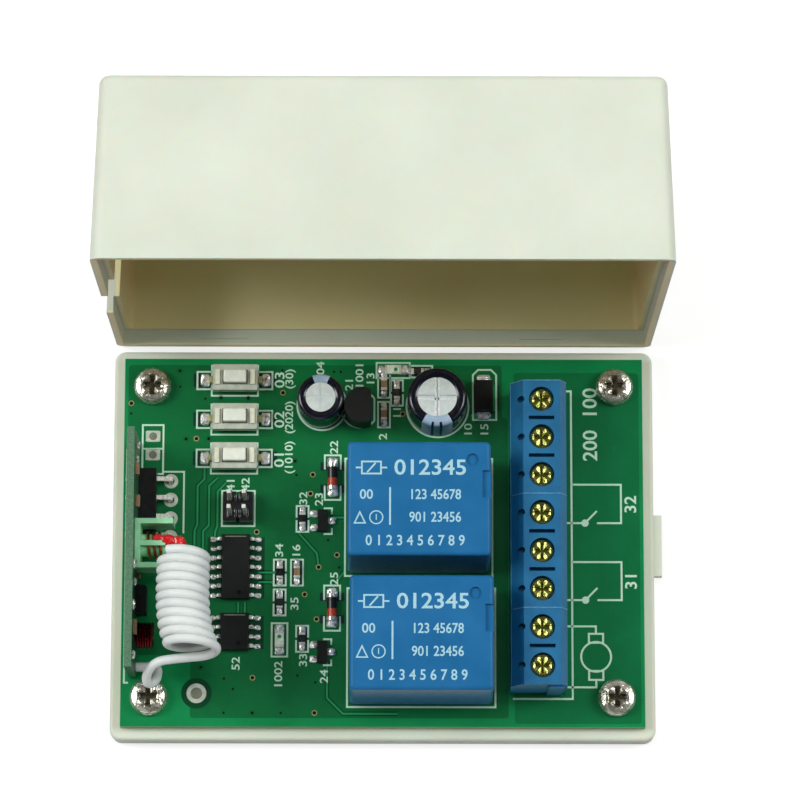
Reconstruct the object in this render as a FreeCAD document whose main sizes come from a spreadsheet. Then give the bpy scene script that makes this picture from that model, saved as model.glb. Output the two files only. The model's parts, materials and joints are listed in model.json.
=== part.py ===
"""Two-channel radio relay receiver: a board in a base tray, with its deep cover stood behind it.

The origin is the middle of the base's underside. X runs along the case towards the screw
terminals, Y towards the cover that stands behind the base, and Z up. Millimetres.
"""

import FreeCAD, Part
import Sketcher
import math
import os
import re

Vector = FreeCAD.Vector

SIZES = {
    # base tray
    "case_length": 73.0,
    "case_width": 53.0,
    "case_corner": 1.5,
    "base_height": 3.7,
    "base_floor": 1.2,
    "base_wall": 2.2,
    "base_edge_round": 0.5,
    "tab_width": 8.3,
    "tab_reach": 1.1,
    "tab_thickness": 1.6,
    "boss_diameter": 6.0,
    # cover
    "cover_depth": 24.0,
    "cover_draft": 0.8,
    "cover_side_wall": 1.2,
    "cover_end_wall": 1.6,
    "cover_roof": 1.4,
    "cover_edge_round": 1.2,
    "cover_inner_round": 0.8,
    "lip_wall": 0.9,
    "lip_depth": 2.2,
    "outlet_width": 9.8,
    "outlet_depth": 7.8,
    "ridge_length": 6.2,
    "ridge_spacing": 43.4,
    "ridge_thickness": 0.6,
    "ridge_proud": 0.25,
    "ridge_setback": 0.9,
    "cover_gap": 1.5,
    # main board and its screws
    "board_length": 70.0,
    "board_width": 50.0,
    "board_thickness": 1.6,
    "board_lift": 0.1,
    "board_shift": 0.15,
    "board_screw_spacing_x": 62.4,
    "board_screw_spacing_y": 42.2,
    "board_screw_head": 5.0,
    "board_screw_head_height": 1.9,
    "board_screw_shoulder": 0.85,
    "board_screw_crown": 1.35,
    "board_screw_shank": 2.2,
    "board_screw_point": 0.6,
    "board_screw_reach": 4.4,
    "board_screw_recess": 2.8,
    "board_screw_recess_width": 0.7,
    "board_screw_recess_depth": 1.0,
    "screw_clearance": 0.1,
    "lead_tail": 1.2,
    "lead_clearance": 0.15,
    "aerial_hole_x": -25.1,
    "aerial_hole_y": -20.3,
    "aerial_hole_diameter": 1.5,
    "spare_hole_x": -31.1,
    "spare_hole_y": 13.2,
    "spare_hole_diameter": 1.0,
    # screw terminals
    "pole_pitch": 5.08,
    "poles_in_block_1": 3,
    "poles_in_block_2": 3,
    "poles_in_block_3": 2,
    "terminal_x": 16.95,
    "terminal_row_y": 20.32,
    "terminal_depth": 7.4,
    "terminal_height": 10.0,
    "terminal_slope_start": 7.4,
    "terminal_slope_run": 1.6,
    "terminal_bevel_run": 0.85,
    "terminal_bevel_drop": 2.0,
    "terminal_rear_wall": 0.85,
    "terminal_front_wall": 0.8,
    "chamber_width": 3.9,
    "chamber_height": 7.3,
    "terminal_axis": 4.05,
    "driver_hole": 3.3,
    "head_seat_height": 7.9,
    "entry_width": 3.4,
    "entry_height": 3.2,
    "entry_sill": 0.9,
    "relief_slot_length": 3.4,
    "relief_slot_width": 0.5,
    "relief_slot_depth": 2.0,
    "test_hole": 0.9,
    "test_hole_x": 1.35,
    "test_hole_depth": 2.0,
    "rail_width": 1.6,
    "rail_reach": 0.3,
    "rail_flare": 0.25,
    "rail_height": 8.8,
    "rail_x": 5.9,
    "rail_clearance": 0.05,
    "terminal_screw_head": 3.0,
    "terminal_screw_head_height": 1.5,
    "terminal_screw_chamfer": 0.3,
    "terminal_screw_recess": 2.4,
    "terminal_screw_shank": 2.5,
    "terminal_screw_reach": 3.6,
    "terminal_screw_slot": 0.5,
    "terminal_screw_slot_depth": 0.6,
    "thread_clearance": 0.05,
    "clamp_depth": 3.4,
    "clamp_width": 3.6,
    "clamp_wall": 0.5,
    "clamp_top": 0.9,
    "clamp_window": 3.2,
    "clamp_rest": 0.7,
    "contact_height": 3.4,
    "contact_thickness": 0.8,
    "contact_width": 1.8,
    "contact_reach": 4.65,
    "contact_setback": 0.1,
    "contact_tail_width": 0.9,
    # relays
    "relay_length": 19.0,
    "relay_width": 15.3,
    "relay_height": 15.25,
    "relay_draft": 0.1,
    "relay_corner": 0.6,
    "relay_edge_round": 0.55,
    "relay_1_x": 4.73,
    "relay_1_y": 3.45,
    "relay_2_x": 5.08,
    "relay_2_y": -14.2,
    "relay_dimple": 1.6,
    "relay_dimple_inset": 2.5,
    "relay_dimple_depth": 0.4,
    "relay_notch_length": 3.6,
    "relay_notch_reach": 1.2,
    "relay_notch_depth": 0.5,
    "relay_common_x": -7.4,
    "relay_coil_x": -5.4,
    "relay_contact_x": 6.8,
    "relay_pin_spread": 12.0,
    "relay_pin_width": 1.0,
    "relay_pin_thickness": 0.5,
    # push buttons
    "switch_x": -20.0,
    "switch_1_y": 11.46,
    "switch_pitch": 5.35,
    "switch_length": 6.0,
    "switch_width": 3.5,
    "switch_height": 2.2,
    "switch_plate": 0.25,
    "switch_skirt": 1.5,
    "switch_cap_clearance": 0.02,
    "switch_window_length": 3.4,
    "switch_window_width": 2.0,
    "switch_well_depth": 1.3,
    "button_length": 3.1,
    "button_width": 1.75,
    "button_top": 3.5,
    "button_travel": 0.25,
    "button_round": 0.2,
    "switch_post_length": 2.0,
    "switch_post_width": 0.65,
    "switch_post_spread": 4.7,
    "switch_post_height": 0.3,
    "switch_foot_reach": 1.4,
    "switch_foot_width": 1.0,
    "switch_foot_thickness": 0.25,
    # electrolytic capacitors
    "large_capacitor_x": 7.2,
    "large_capacitor_y": 18.6,
    "large_capacitor_diameter": 8.0,
    "large_capacitor_height": 7.2,
    "large_capacitor_pitch": 3.5,
    "small_capacitor_x": -8.4,
    "small_capacitor_y": 18.7,
    "small_capacitor_diameter": 6.3,
    "small_capacitor_height": 6.4,
    "small_capacitor_pitch": 2.5,
    "sleeve_wall": 0.15,
    "sleeve_shoulder": 0.8,
    "sleeve_rim": 1.3,
    "can_clearance": 0.02,
    "vent_width": 0.3,
    "vent_depth": 0.15,
    "capacitor_lead": 0.5,
    # small transistor with a flat face
    "transistor_x": -2.85,
    "transistor_y": 17.75,
    "transistor_diameter": 4.8,
    "transistor_flat": 1.2,
    "transistor_height": 4.6,
    "transistor_lift": 1.4,
    "transistor_lead": 0.45,
    "transistor_pitch": 1.27,
    # surface-mounted parts
    "power_diode_x": 13.55,
    "power_diode_y": 19.9,
    "power_diode_length": 4.3,
    "power_diode_width": 2.6,
    "power_diode_height": 2.1,
    "power_diode_tab": 1.4,
    "power_diode_tab_reach": 0.6,
    "power_diode_tab_thickness": 0.25,
    "glass_diode_x": -6.82,
    "glass_diode_1_y": 8.85,
    "glass_diode_2_y": -8.9,
    "glass_diode_length": 3.5,
    "glass_diode_diameter": 1.5,
    "glass_diode_cap": 0.45,
    "glass_diode_step": 0.08,
    "chip_lead_width": 0.4,
    "chip_lead_thickness": 0.2,
    "chip_lead_foot": 0.6,
    "chip_lead_pitch": 1.27,
    "chip_width": 3.9,
    "chip_span": 6.0,
    "chip_height": 1.5,
    "chip_lift": 0.1,
    "chip_bevel": 0.15,
    "chip_dimple": 0.9,
    "chip_dimple_depth": 0.12,
    "decoder_x": -19.75,
    "decoder_y": -3.45,
    "decoder_length": 8.65,
    "decoder_leads_a_side": 7,
    "memory_x": -19.8,
    "memory_y": -12.2,
    "memory_length": 4.9,
    "memory_leads_a_side": 4,
    "driver_length": 2.9,
    "driver_width": 1.3,
    "driver_height": 1.0,
    "driver_x": -8.1,
    "driver_1_y": 2.9,
    "driver_2_y": -14.85,
    "driver_lead_spread": 1.9,
    "driver_lead_reach": 0.55,
    "driver_lead_width": 0.4,
    "driver_lead_thickness": 0.35,
    "passive_length": 1.6,
    "passive_width": 0.8,
    "resistor_height": 0.45,
    "lamp_resistor_x": 4.6,
    "lamp_resistor_y": 23.45,
    "ceramic_height": 0.8,
    "indicator_length": 2.2,
    "indicator_width": 1.2,
    "indicator_height": 0.8,
    "power_indicator_x": 1.3,
    "power_indicator_y": 23.6,
    "learn_indicator_x": -13.83,
    "learn_indicator_y": -13.2,
    # jumper header
    "jumper_x": -19.5,
    "jumper_y": 4.6,
    "jumper_pitch": 2.0,
    "jumper_body": 4.0,
    "jumper_body_height": 2.0,
    "jumper_corner": 0.28,
    "jumper_notch": 0.5,
    "jumper_pin": 0.5,
    "jumper_pin_top": 8.0,
    # upright radio board
    "radio_x": -33.8,
    "radio_y": -2.45,
    "radio_length": 31.9,
    "radio_height": 12.0,
    "radio_thickness": 1.0,
    "radio_gap": 0.3,
    "radio_pin": 0.6,
    "radio_pin_pitch": 2.54,
    "radio_pin_first_y": 8.3,
    "radio_pin_count": 4,
    "radio_pin_height": 1.8,
    "radio_pin_tip": 0.75,
    "radio_pad_x": -28.6,
    "radio_block_depth": 2.4,
    "radio_block_height": 2.54,
    "pin_clearance": 0.03,
    "former_y": -1.4,
    "former_height": 5.8,
    "former_reach": 5.0,
    "former_width": 6.6,
    "former_tall": 5.0,
    "former_crown_reach": 4.0,
    "former_flange": 0.7,
    "former_core": 3.0,
    "former_rib": 0.7,
    "former_wire": 0.35,
    "former_wire_gap": 0.45,
    "former_turns": 3,
    "former_coil_start": 1.3,
    "tuning_core": 1.8,
    "tuning_core_depth": 3.0,
    "tuning_core_setback": 0.3,
    "inductor_y": -13.4,
    "inductor_height": 5.4,
    "inductor_diameter": 3.0,
    "inductor_length": 2.3,
    "radio_chip_y": -8.6,
    "radio_chip_height": 4.6,
    "radio_chip_size": 3.9,
    "radio_chip_thickness": 1.4,
    # wire aerial
    "aerial_wire": 0.8,
    "aerial_pitch": 1.22,
    "aerial_radius": 2.98,
    "aerial_flare": 0.2,
    "aerial_bow": 1.8,
    "aerial_turns": 10.62,
    "aerial_begin": 132.0,
    "aerial_start_x": -26.1,
    "aerial_start_y": -3.65,
    "aerial_start_height": 12.3,
    "aerial_tilt": 9.0,
    "aerial_swing": -1.2,
    "aerial_first_run": 2.8,
    "aerial_bend": 0.45,
}

BOARD_UNDER = "base_height + board_lift"
BOARD_TOP = "base_height + board_lift + board_thickness"
LEAD_DEPTH = "board_thickness + lead_tail"
RADIO_FACE = "radio_x + radio_thickness"
BLOCK_POLES = ["poles_in_block_1", "poles_in_block_2", "poles_in_block_3"]

RESISTORS = {
    "supply_resistor": (1.82, 20.5),
    "base_resistor_1": (-10.85, 3.2),
    "base_resistor_2": (-10.8, -13.05),
    "pull_up_resistor": (-13.85, -4.1),
    "indicator_resistor": (-13.85, -8.15),
}
CERAMICS = {
    "input_ceramic": (0.07, 21.6),
    "output_ceramic": (0.07, 17.5),
    "filter_ceramic": (-11.55, -4.1),
}
for place_name, (place_x, place_y) in {**RESISTORS, **CERAMICS}.items():
    SIZES[place_name + "_x"] = place_x
    SIZES[place_name + "_y"] = place_y

# points of the aerial between its coil and the radio board, their heights above the main board
AERIAL_ROUTE = [
    (-29.7, -17.5, 10.4),
    (-31.0, -18.8, 9.0),
    (-31.05, -20.2, 7.2),
    (-29.9, -19.5, 5.6),
    (-29.75, -17.6, 3.4),
    (-30.6, -17.2, 2.4),
]

doc = FreeCAD.newDocument("relay_receiver")
sheet = doc.addObject("Spreadsheet::Sheet", "sizes")
sub_parts = []
drilled = []


def fill_sheet():
    """One row a size: its name, and its value under that name."""
    for row, (name, amount) in enumerate(SIZES.items(), start=1):
        sheet.set(f"A{row}", name)
        sheet.set(f"B{row}", str(amount))
        sheet.setAlias(f"B{row}", name)
    doc.recompute()


def ref(text):
    """The expression with each size's name pointed at the sheet."""
    def point(word):
        return "sizes." + word.group() if word.group() in SIZES else word.group()
    return re.sub(r"[a-z]\w*", point, text)


def number(text):
    """What an expression of sizes comes to."""
    return float(sheet.evalExpression(ref(text)))


def bind(item, **formulas):
    for name, text in formulas.items():
        item.setExpression(name, ref(text))


def place(item, x="0", y="0", z="0"):
    for axis, text in zip("xyz", (x, y, z)):
        item.setExpression(f"Placement.Base.{axis}", ref(text))


def keep(item, label):
    """The item becomes a sub-part of this name."""
    item.Label = label
    sub_parts.append(item)
    return item


# Bodies, sketches and features

def new_body(name, x="0", y="0", z="0"):
    body = doc.addObject("PartDesign::Body", name)
    place(body, x, y, z)
    return body


def origin_feature(body, role):
    return next(item for item in body.Origin.OriginFeatures if item.Role == role)


def new_sketch(body, name, plane="XY_Plane", offset="0"):
    sketch = body.newObject("Sketcher::SketchObject", name)
    sketch.AttachmentSupport = [(origin_feature(body, plane), "")]
    sketch.MapMode = "FlatFace"
    sketch.setExpression("AttachmentOffset.Base.z", ref(offset))
    return sketch


def hold(sketch, kind, target, text):
    """A dimension from the sketch's origin, or of one curve, bound to the sheet."""
    if kind == "Radius":
        row = sketch.addConstraint(Sketcher.Constraint(kind, target[0], number(text)))
    else:
        row = sketch.addConstraint(Sketcher.Constraint(kind, -1, 1, *target, number(text)))
    sketch.setExpression(f"Constraints[{row}]", ref(text))


def polygon(sketch, points):
    """A closed outline whose corners are each held by two bound distances."""
    corners = [Vector(number(x), number(y), 0) for x, y in points]
    count = len(points)
    first = sketch.GeometryCount
    sides = [Part.LineSegment(corners[i], corners[(i + 1) % count]) for i in range(count)]
    sketch.addGeometry(sides, False)
    for i, (x, y) in enumerate(points):
        following = first + (i + 1) % count
        sketch.addConstraint(Sketcher.Constraint("Coincident", first + i, 2, following, 1))
        hold(sketch, "DistanceX", (first + i, 1), x)
        hold(sketch, "DistanceY", (first + i, 1), y)


def rectangle(sketch, width, height, x="0", y="0"):
    left, right = f"{x} - ({width}) / 2", f"{x} + ({width}) / 2"
    low, high = f"{y} - ({height}) / 2", f"{y} + ({height}) / 2"
    polygon(sketch, [(left, low), (right, low), (right, high), (left, high)])


def circle(sketch, diameter, x="0", y="0"):
    index = sketch.GeometryCount
    centre = Vector(number(x), number(y), 0)
    radius = number(f"({diameter}) / 2")
    sketch.addGeometry(Part.Circle(centre, Vector(0, 0, 1), radius), False)
    hold(sketch, "Radius", (index,), f"({diameter}) / 2")
    hold(sketch, "DistanceX", (index, 3), x)
    hold(sketch, "DistanceY", (index, 3), y)


def extrude(body, kind, sketch, length, taper=None, reverse=False, centred=False):
    feature = body.newObject("PartDesign::" + kind, sketch.Name + "_" + kind.lower())
    feature.Profile = sketch
    feature.Reversed = reverse
    if centred:
        feature.SideType = "Symmetric"
    bind(feature, Length=length)
    if taper:
        bind(feature, TaperAngle=taper)
    doc.recompute([feature])
    return feature


def pad(body, sketch, length, **options):
    return extrude(body, "Pad", sketch, length, **options)


def pocket(body, sketch, length, **options):
    return extrude(body, "Pocket", sketch, length, **options)


def revolve(body, sketch):
    """A full turn of the sketch about its own upright axis."""
    feature = body.newObject("PartDesign::Revolution", sketch.Name + "_turned")
    feature.Profile = sketch
    feature.ReferenceAxis = (sketch, ["V_Axis"])
    feature.Angle = 360
    doc.recompute([feature])
    return feature


def round_edges(body, feature, radius, wanted):
    """A fillet on each edge that the test picks."""
    doc.recompute()
    edges = [f"Edge{i}" for i, edge in enumerate(feature.Shape.Edges, start=1) if wanted(edge)]
    fillet = body.newObject("PartDesign::Fillet", feature.Name + "_round")
    fillet.Base = (feature, edges)
    bind(fillet, Radius=radius)
    doc.recompute([fillet])
    return fillet


def upright(edge):
    """True for a straight edge that runs mainly up."""
    ends = edge.Vertexes
    if len(ends) < 2:
        return False
    run = ends[1].Point - ends[0].Point
    return abs(run.z) > 10 * math.hypot(run.x, run.y)


def level_at(height):
    """A test for edges that lie wholly at one height."""
    def wanted(edge):
        box = edge.BoundBox
        return abs(box.ZMin - height) < 1e-4 and abs(box.ZMax - height) < 1e-4
    return wanted


def row(body, originals, axis, step, count, reverse=False):
    """The features repeated along an origin axis."""
    pattern = body.newObject("PartDesign::LinearPattern", originals[0].Name + "_row")
    pattern.Originals = originals
    pattern.Direction = (origin_feature(body, axis), [""])
    pattern.Reversed = reverse
    bind(pattern, Length=f"({step}) * ({count} - 1)", Occurrences=count)
    body.Tip = pattern
    doc.recompute([pattern])
    return pattern


# Primitives

def block(name, size, centre, bottom):
    """A box with its middle over a point and its underside at a height."""
    item = doc.addObject("Part::Box", name)
    bind(item, Length=size[0], Width=size[1], Height=size[2])
    place(item, f"{centre[0]} - ({size[0]}) / 2", f"{centre[1]} - ({size[1]}) / 2", bottom)
    return item


def rod(name, diameter, height, centre, bottom):
    item = doc.addObject("Part::Cylinder", name)
    bind(item, Radius=f"({diameter}) / 2", Height=height)
    place(item, centre[0], centre[1], bottom)
    return item


def cut(name, base, tool):
    item = doc.addObject("Part::Cut", name)
    item.Base = base
    item.Tool = tool
    return item


def fuse(name, items):
    item = doc.addObject("Part::MultiFuse", name)
    item.Shapes = items
    return item


def group(label, items):
    """Like pieces in one sub-part, each its own solid."""
    item = doc.addObject("Part::Compound", label)
    item.Links = items
    return keep(item, label)


def drill(x, y, width, thickness="0"):
    """A lead's place: the main board gets a hole that clears its round or its corners."""
    drilled.append((x, y, f"sqrt(({width})^2 + ({thickness})^2) + 2 * lead_clearance"))


# Case

def base_tray():
    body = new_body("base_tray")
    outline = new_sketch(body, "tray_outline")
    rectangle(outline, "case_length", "case_width")
    slab = pad(body, outline, "base_height")
    rounded = round_edges(body, slab, "case_corner", upright)
    round_edges(body, rounded, "base_edge_round", level_at(number("base_height")))
    hollow = new_sketch(body, "tray_hollow", offset="base_height")
    rectangle(hollow, "case_length - 2 * base_wall", "case_width - 2 * base_wall")
    pocket(body, hollow, "base_height - base_floor")
    tab = new_sketch(body, "tray_tab", offset="base_height - base_edge_round - tab_thickness")
    rectangle(tab, "tab_reach + base_wall / 2", "tab_width",
              "case_length / 2 + tab_reach / 2 - base_wall / 4")
    pad(body, tab, "tab_thickness")
    bosses = new_sketch(body, "tray_bosses", offset="base_floor")
    screw_circles(bosses, "boss_diameter")
    pad(body, bosses, f"{BOARD_UNDER} - base_floor")
    pilots = new_sketch(body, "tray_pilots", offset=BOARD_UNDER)
    screw_circles(pilots, "board_screw_shank + 2 * screw_clearance")
    pocket(body, pilots, "board_screw_reach - board_thickness + screw_clearance")
    keep(body, "base_tray")


def screw_places():
    for side_x in ("-", ""):
        for side_y in ("-", ""):
            yield (f"{side_x}board_screw_spacing_x / 2",
                   f"{side_y}board_screw_spacing_y / 2 + board_shift")


def screw_circles(sketch, diameter):
    for x, y in screw_places():
        circle(sketch, diameter, x, y)


def cover():
    """The deep cover, drawn mouth down and stood on its long wall behind the base."""
    body = new_body("cover", y="case_width / 2 + cover_gap", z="case_width / 2")
    body.setExpression("Placement.Rotation.Axis.x", "1")
    body.setExpression("Placement.Rotation.Axis.y", "0")
    body.setExpression("Placement.Rotation.Axis.z", "0")
    body.setExpression("Placement.Rotation.Angle", "-90")
    slope = "-atan(cover_draft / cover_depth)"
    outline = new_sketch(body, "cover_outline")
    rectangle(outline, "case_length", "case_width")
    shell = pad(body, outline, "cover_depth", taper=slope)
    corners = round_edges(body, shell, "case_corner", upright)
    top = level_at(number("cover_depth"))
    round_edges(body, corners, "cover_edge_round", top)
    cavity = new_sketch(body, "cover_cavity")
    rectangle(cavity, "case_length - 2 * cover_end_wall", "case_width - 2 * cover_side_wall")
    inside = pocket(body, cavity, "cover_depth - cover_roof", taper=slope, reverse=True)
    outermost = number("case_length / 2 - cover_end_wall") + 0.01
    innermost = number("case_length / 2 - cover_end_wall - cover_draft") - 0.01

    def inner_corner(edge):
        return upright(edge) and innermost < abs(edge.CenterOfMass.x) < outermost

    round_edges(body, inside, "cover_inner_round", inner_corner)
    lip = new_sketch(body, "cover_lip")
    rectangle(lip, "case_length - 2 * lip_wall", "case_width - 2 * lip_wall")
    pocket(body, lip, "lip_depth", reverse=True)
    outlet = new_sketch(body, "cover_outlet", "YZ_Plane", "-case_length / 2 + 2 * cover_end_wall")
    rectangle(outlet, "outlet_width", "2 * outlet_depth")
    pocket(body, outlet, "3 * cover_end_wall", reverse=False)
    ridges = new_sketch(body, "cover_ridges", offset="ridge_setback")
    for along in ("-", ""):
        for across in ("-", ""):
            rectangle(ridges, "ridge_length", "ridge_proud + lip_wall / 2",
                      f"{along}ridge_spacing / 2",
                      f"{across}(case_width / 2 - lip_wall * 3 / 4 - ridge_proud / 2)")
    pad(body, ridges, "ridge_thickness")
    keep(body, "cover")


# Main board

def main_board():
    """The board, drilled for every lead that the other pieces named."""
    body = new_body("main_board", z=BOARD_UNDER)
    outline = new_sketch(body, "board_outline")
    rectangle(outline, "board_length", "board_width", y="board_shift")
    pad(body, outline, "board_thickness")
    holes = new_sketch(body, "board_holes", offset="board_thickness")
    screw_circles(holes, "board_screw_shank + 4 * screw_clearance")
    circle(holes, "aerial_hole_diameter", "aerial_hole_x", "aerial_hole_y")
    for side in ("-", "+"):
        circle(holes, "spare_hole_diameter", "spare_hole_x",
               f"spare_hole_y {side} radio_pin_pitch / 2")
    for x, y, diameter in drilled:
        circle(holes, diameter, x, y)
    pocket(body, holes, "board_thickness")
    keep(body, "main_board")


def board_screw(index, x, y):
    """A pan-head screw with a cross recess, turned about its own axis."""
    body = new_body(f"board_screw_{index}", x, y, BOARD_TOP)
    profile = new_sketch(body, f"board_screw_profile_{index}", "XZ_Plane")
    polygon(profile, [
        ("0", "-board_screw_reach"),
        ("board_screw_shank / 2 - board_screw_point", "-board_screw_reach"),
        ("board_screw_shank / 2", "-board_screw_reach + board_screw_point"),
        ("board_screw_shank / 2", "0"),
        ("board_screw_head / 2", "0"),
        ("board_screw_head / 2", "board_screw_shoulder"),
        ("(board_screw_head / 2 + board_screw_crown) / 2 + board_screw_head / 20",
         "board_screw_shoulder + (board_screw_head_height - board_screw_shoulder) * 3 / 4"),
        ("board_screw_crown", "board_screw_head_height"),
        ("0", "board_screw_head_height"),
    ])
    revolve(body, profile)
    cross_recess(body, f"board_screw_recess_{index}", "board_screw_head_height",
                 "board_screw_recess", "board_screw_recess_width", "board_screw_recess_depth")
    return body


def cross_recess(body, name, top, span, width, depth):
    """Two crossed slots sunk from a flat top, drawn as one outline."""
    sketch = new_sketch(body, name, offset=top)
    arm, half = f"({span}) / 2", f"({width}) / 2"
    corners = [(half, half), (half, arm), ("-" + half, arm), ("-" + half, half)]
    outline = []
    for turn in range(4):
        for x, y in corners[:3]:
            outline.append(quarter_turned(x, y, turn))
    polygon(sketch, outline)
    pocket(body, sketch, depth)


def quarter_turned(x, y, turns):
    """A point's expressions after some quarter turns."""
    for _ in range(turns):
        x, y = f"-({y})", x
    return x, y


def board_screws():
    group("board_screws", [board_screw(i, x, y) for i, (x, y) in enumerate(screw_places(), 1)])


# Screw terminals

def pole_y(pole):
    """The middle of a pole, counted from the end of the row beside the capacitors."""
    return f"terminal_row_y - pole_pitch * {pole + 0.5}"


def terminal_housing(number_in_row, first_pole, poles):
    """A terminal block moulding: local X from its back, Y from its first end, Z from the board."""
    tag = f"block_{number_in_row}"
    count = f"poles_in_{tag}"
    body = new_body(f"terminal_housing_{number_in_row}", "terminal_x",
                    f"terminal_row_y - pole_pitch * {first_pole}", BOARD_TOP)
    profile = new_sketch(body, tag + "_profile", "XZ_Plane")
    polygon(profile, [
        ("0", "0"),
        ("terminal_depth", "0"),
        ("terminal_depth", "terminal_height - terminal_bevel_drop"),
        ("terminal_depth - terminal_bevel_run", "terminal_height"),
        ("terminal_slope_run", "terminal_height"),
        ("0", "terminal_slope_start"),
    ])
    pad(body, profile, f"pole_pitch * {count}")
    rail(body, tag + "_rail", f"-pole_pitch * {count}", "0", pad)
    rail(body, tag + "_groove", "0", "rail_clearance", pocket)
    chamber = new_sketch(body, tag + "_chamber")
    inner = "terminal_depth - terminal_rear_wall - terminal_front_wall"
    rectangle(chamber, inner, "chamber_width", f"terminal_rear_wall + ({inner}) / 2",
              "-pole_pitch / 2")
    cavity = pocket(body, chamber, "chamber_height", reverse=True)
    driver = new_sketch(body, tag + "_driver", offset="terminal_height")
    circle(driver, "driver_hole", "terminal_axis", "-pole_pitch / 2")
    well = pocket(body, driver, "terminal_height - head_seat_height")
    neck = new_sketch(body, tag + "_neck", offset="terminal_height")
    circle(neck, "terminal_screw_shank + 4 * thread_clearance", "terminal_axis", "-pole_pitch / 2")
    through = pocket(body, neck, "terminal_height - chamber_height / 2")
    entry = new_sketch(body, tag + "_entry", "YZ_Plane", "terminal_depth")
    rectangle(entry, "entry_width", "entry_height", "-pole_pitch / 2",
              "entry_sill + entry_height / 2")
    mouth = pocket(body, entry, "terminal_front_wall * 1.5")
    test = new_sketch(body, tag + "_test", offset="terminal_height")
    circle(test, "test_hole", "test_hole_x", "-pole_pitch / 2")
    probe = pocket(body, test, "test_hole_depth")
    row(body, [cavity, well, through, mouth, probe], "Y_Axis", "pole_pitch", count, reverse=True)
    relief = new_sketch(body, tag + "_relief", offset="terminal_height")
    for gap in range(1, poles):
        rectangle(relief, "relief_slot_length", "relief_slot_width", "terminal_axis",
                  f"-pole_pitch * {gap}")
    pocket(body, relief, "relief_slot_depth")
    keep(body, f"terminal_housing_{number_in_row}")


def rail(body, name, end, clearance, feature):
    """A dovetail on the end of a block, or the groove that takes its neighbour's."""
    sketch = new_sketch(body, name)
    root = f"rail_width / 2 + {clearance}"
    tip = f"rail_width / 2 + rail_flare + {clearance}"
    far = f"{end} - rail_reach - {clearance}"
    polygon(sketch, [
        (f"rail_x - ({root})", end),
        (f"rail_x - ({tip})", far),
        (f"rail_x + ({tip})", far),
        (f"rail_x + ({root})", end),
    ])
    if feature is pad:
        pad(body, sketch, "rail_height")
    else:
        pocket(body, sketch, "rail_height + rail_clearance", reverse=True)


def terminal_contacts(poles):
    """The bent contacts: a leg in the back of each chamber and a tongue through the clamp."""
    body = new_body("terminal_contacts", "terminal_x", pole_y(0), BOARD_TOP)
    rear = "terminal_rear_wall + contact_setback"
    profile = new_sketch(body, "contact_profile", "XZ_Plane")
    polygon(profile, [
        (rear, "0"),
        (f"{rear} + contact_thickness", "0"),
        (f"{rear} + contact_thickness", "contact_height"),
        (f"{rear} + contact_reach", "contact_height"),
        (f"{rear} + contact_reach", "contact_height + contact_thickness"),
        (rear, "contact_height + contact_thickness"),
    ])
    tongue = pad(body, profile, "contact_width", centred=True)
    tail = new_sketch(body, "contact_tail")
    rectangle(tail, "contact_thickness", "contact_tail_width", f"{rear} + contact_thickness / 2")
    leg = pad(body, tail, LEAD_DEPTH, reverse=True)
    row(body, [tongue, leg], "Y_Axis", "pole_pitch", " + ".join(BLOCK_POLES), reverse=True)
    keep(body, "terminal_contacts")
    for pole in range(poles):
        drill(f"terminal_x + {rear} + contact_thickness / 2", pole_y(pole),
              "contact_tail_width", "contact_thickness")


def terminal_screw(pole):
    body = new_body(f"terminal_screw_{pole + 1}", "terminal_x + terminal_axis", pole_y(pole),
                    f"{BOARD_TOP} + head_seat_height")
    profile = new_sketch(body, f"terminal_screw_profile_{pole + 1}", "XZ_Plane")
    polygon(profile, [
        ("0", "-terminal_screw_reach"),
        ("terminal_screw_shank / 2", "-terminal_screw_reach"),
        ("terminal_screw_shank / 2", "0"),
        ("terminal_screw_head / 2", "0"),
        ("terminal_screw_head / 2", "terminal_screw_head_height - terminal_screw_chamfer"),
        ("terminal_screw_head / 2 - terminal_screw_chamfer", "terminal_screw_head_height"),
        ("0", "terminal_screw_head_height"),
    ])
    revolve(body, profile)
    cross_recess(body, f"terminal_screw_recess_{pole + 1}", "terminal_screw_head_height",
                 "terminal_screw_recess", "terminal_screw_slot", "terminal_screw_slot_depth")
    keep(body, f"terminal_screw_{pole + 1}")


def wire_clamp(pole):
    """The cage that its screw draws up: open front and back, threaded in its top."""
    body = new_body(f"wire_clamp_{pole + 1}", "terminal_x + terminal_axis", pole_y(pole),
                    f"{BOARD_TOP} + clamp_rest")
    section = new_sketch(body, f"clamp_section_{pole + 1}", "YZ_Plane")
    full = "clamp_wall + clamp_window + clamp_top"
    rectangle(section, "clamp_width", full, "0", f"({full}) / 2")
    rectangle(section, "clamp_width - 2 * clamp_wall", "clamp_window", "0",
              "clamp_wall + clamp_window / 2")
    pad(body, section, "clamp_depth", centred=True)
    thread = new_sketch(body, f"clamp_thread_{pole + 1}", offset=full)
    circle(thread, "terminal_screw_shank + 2 * thread_clearance")
    pocket(body, thread, "clamp_top + clamp_window / 4")
    keep(body, f"wire_clamp_{pole + 1}")


def screw_terminals():
    blocks = [int(SIZES[name]) for name in BLOCK_POLES]
    for index, poles in enumerate(blocks):
        before = " + ".join(["0"] + BLOCK_POLES[:index])
        terminal_housing(index + 1, f"({before})", poles)
    terminal_contacts(sum(blocks))
    for pole in range(sum(blocks)):
        terminal_screw(pole)
        wire_clamp(pole)


# Relays

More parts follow.
